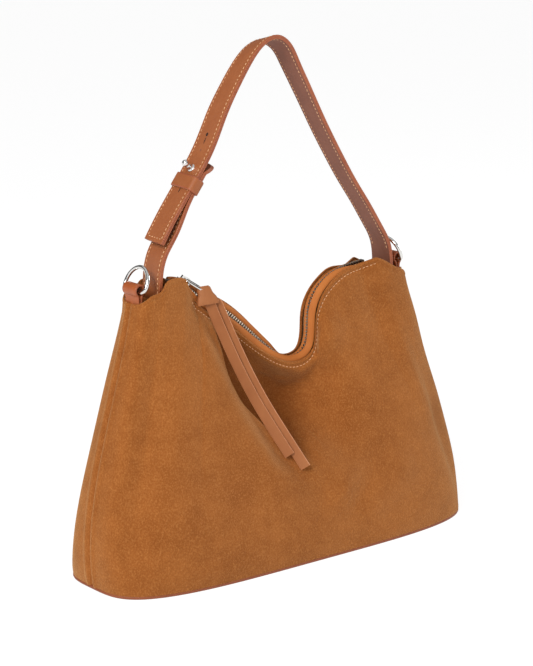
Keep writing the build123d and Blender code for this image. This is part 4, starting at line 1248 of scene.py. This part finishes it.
# %% [markdown]
# ## Ring tabs
# A tab is a strip of leather rolled round the bar of its ring, with both ends sewn into the bag. Its
# side view is drawn once and given the tab's width.

# %% Ring tabs
TAB_WIDTH, TAB_LEATHER, TAB_ROOT, TAB_BAR_ROOM = 15.4 * MM, 1.6 * MM, 18 * MM, 3.0 * MM
for label, inset, seam, edge_sign in (("left", 3.6, 0.940, -1), ("right", 9.0, 0.905, 1)):
    bar = np.array([TOP_OFFSET + edge_sign * (TOP_LENGTH / 2 - inset * MM), 0.0, seam * TOP_HEIGHT + 9 * MM])
    turn = np.radians(np.linspace(-52, 232, 34))
    eye = TAB_BAR_ROOM + TAB_LEATHER
    line = [(eye * math.cos(a), eye * 1.06 * math.sin(a) + 1.0 * MM) for a in turn]
    line = [(1.9 * MM, -TAB_ROOT), (1.9 * MM, -9 * MM), (2.1 * MM, -5.2 * MM)] + line + [
        (-2.1 * MM, -5.2 * MM), (-1.9 * MM, -9 * MM), (-1.9 * MM, -TAB_ROOT)]
    flat = smooth([(x, 0.0, z) for x, z in line], np.linspace(0, 1, 120))
    way = unit(np.gradient(flat, axis=0))
    outward = np.stack([way[:, 2], 0 * way[:, 0], -way[:, 0]], 1)
    across_tab = np.linspace(-0.5, 0.5, 13)[None, :, None] * TAB_WIDTH * Y_AXIS
    outer = (bar + flat)[:, None, :] + across_tab
    inner = outer - outward[:, None, :] * TAB_LEATHER
    band(f"ring_tab_{label}_leather", outer, inner, [tab_leather, tab_leather, edge_paint], 0.8, 5,
         stands_for=[f"ring_tab_{label}"], sharp=70)
print("tabs rolled")

# %% [markdown]
# ## Strap stitches
# A row runs along both edges of each strap, on the face and on the lining side, and one short row
# closes the square end. The rows are laid on the same grids as the leather.

# %% Strap stitches
STITCH_INSET, STITCH_PITCH = 2.7 * MM, 3.3 * MM


def strap_rows(label, grid_at, depth, face):
    """Rows of stitches near both edges of a strap, on the face that points out (+1) or in (-1)."""
    grid = grid_at(depth)
    share = STITCH_INSET / STRAP_WIDTH * (grid.shape[1] - 1)
    low, part = int(share), share - int(share)
    normal = normals(grid)
    normal = normal if normal[len(grid) // 2, 8] @ np.array([0, 0, 1]) * face > 0 else -normal
    for edge, (a, b) in (("near", (low, low + 1)), ("far", (-low - 1, -low - 2))):
        line = grid[:, a] * (1 - part) + grid[:, b] * part
        row = f"strap_{label}_stitches_{edge}_{'out' if face > 0 else 'in'}"
        stitches(row, line[2:-12], normal[2:-12, a], STITCH_PITCH, "strap")


strap_rows("long", long_grid, 0.0, 1)
strap_rows("long", long_grid, STRAP_THICKNESS, -1)
strap_rows("short", short_grid, 0.0, 1)
strap_rows("short", short_grid, STRAP_THICKNESS, -1)
end_line = long_grid(0.0)[2, 2:-2]
end_up = np.tile(arch_frame([0.005])[3], (len(end_line), 1))
stitches("strap_long_stitches_end", end_line, end_up, STITCH_PITCH, "strap")
print("strap stitched")

# %% [markdown]
# ## Floor and light
# The bag stands on a glowing white floor. The room is white at the horizon, dark above it and grey
# overhead. One broad lamp from the upper left gives the gentle fall of light along the front; two
# weaker ones, in front and at the right, keep the folds and the right end clear.

# %% Studio
def lamp(name, place, aim, size, power):
    data = bpy.data.lights.new(name, "AREA")
    data.shape = "DISK"
    data.size = size
    data.energy = power
    made = bpy.data.objects.new(name, data)
    made.location = place
    made.rotation_euler = (Vector(aim) - Vector(place)).to_track_quat("-Z", "Y").to_euler()
    scene.collection.objects.link(made)
    return made


floor_data = bpy.data.meshes.new("floor")
floor_data.from_pydata([(-8, -8, 0), (8, -8, 0), (8, 8, 0), (-8, 8, 0)], [], [(0, 1, 2, 3)])
floor = bpy.data.objects.new("floor", floor_data)
scene.collection.objects.link(floor)
floor_paint = bpy.data.materials.new("floor_white")
floor_paint.use_nodes = True
floor_shader = floor_paint.node_tree.nodes["Principled BSDF"]
floor_shader.inputs["Base Color"].default_value = (0.20, 0.20, 0.20, 1)
floor_shader.inputs["Emission Color"].default_value = (1, 1, 1, 1)
floor_shader.inputs["Emission Strength"].default_value = 0.88
floor_shader.inputs["Roughness"].default_value = 0.9
floor_shader.inputs["Specular IOR Level"].default_value = 0.1
floor_data.materials.append(floor_paint)

world = bpy.data.worlds.new("white_room")
scene.world = world
world.use_nodes = True
air = world.node_tree
looking = add_node(air, "ShaderNodeTexCoord").outlet("Generated")
upward = add_node(air, "ShaderNodeSeparateXYZ", None, Vector=looking).outlet("Z")
stops = [(0.0, (1, 1, 1, 1)), (0.10, (1, 1, 1, 1)), (0.18, (0.10, 0.10, 0.10, 1)),
         (0.62, (0.10, 0.10, 0.10, 1)), (0.74, (0.60, 0.60, 0.60, 1)), (1.0, (0.60, 0.60, 0.60, 1))]
glow = add_node(air, "ShaderNodeValToRGB", {"stops": stops}, Fac=upward)
air.links.new(glow.output, air.nodes["Background"].inputs["Color"])
air.nodes["Background"].inputs["Strength"].default_value = 1.0
lamp("key", (-1.75, -0.85, 1.5), (0, 0, 0.12), 1.1, 42)
lamp("front", (-0.2, -2.0, 1.2), (0, 0, 0.12), 1.4, 4)
lamp("side", (1.7, -0.5, 0.8), (0.05, 0, 0.12), 0.8, 11)
print("studio lit")
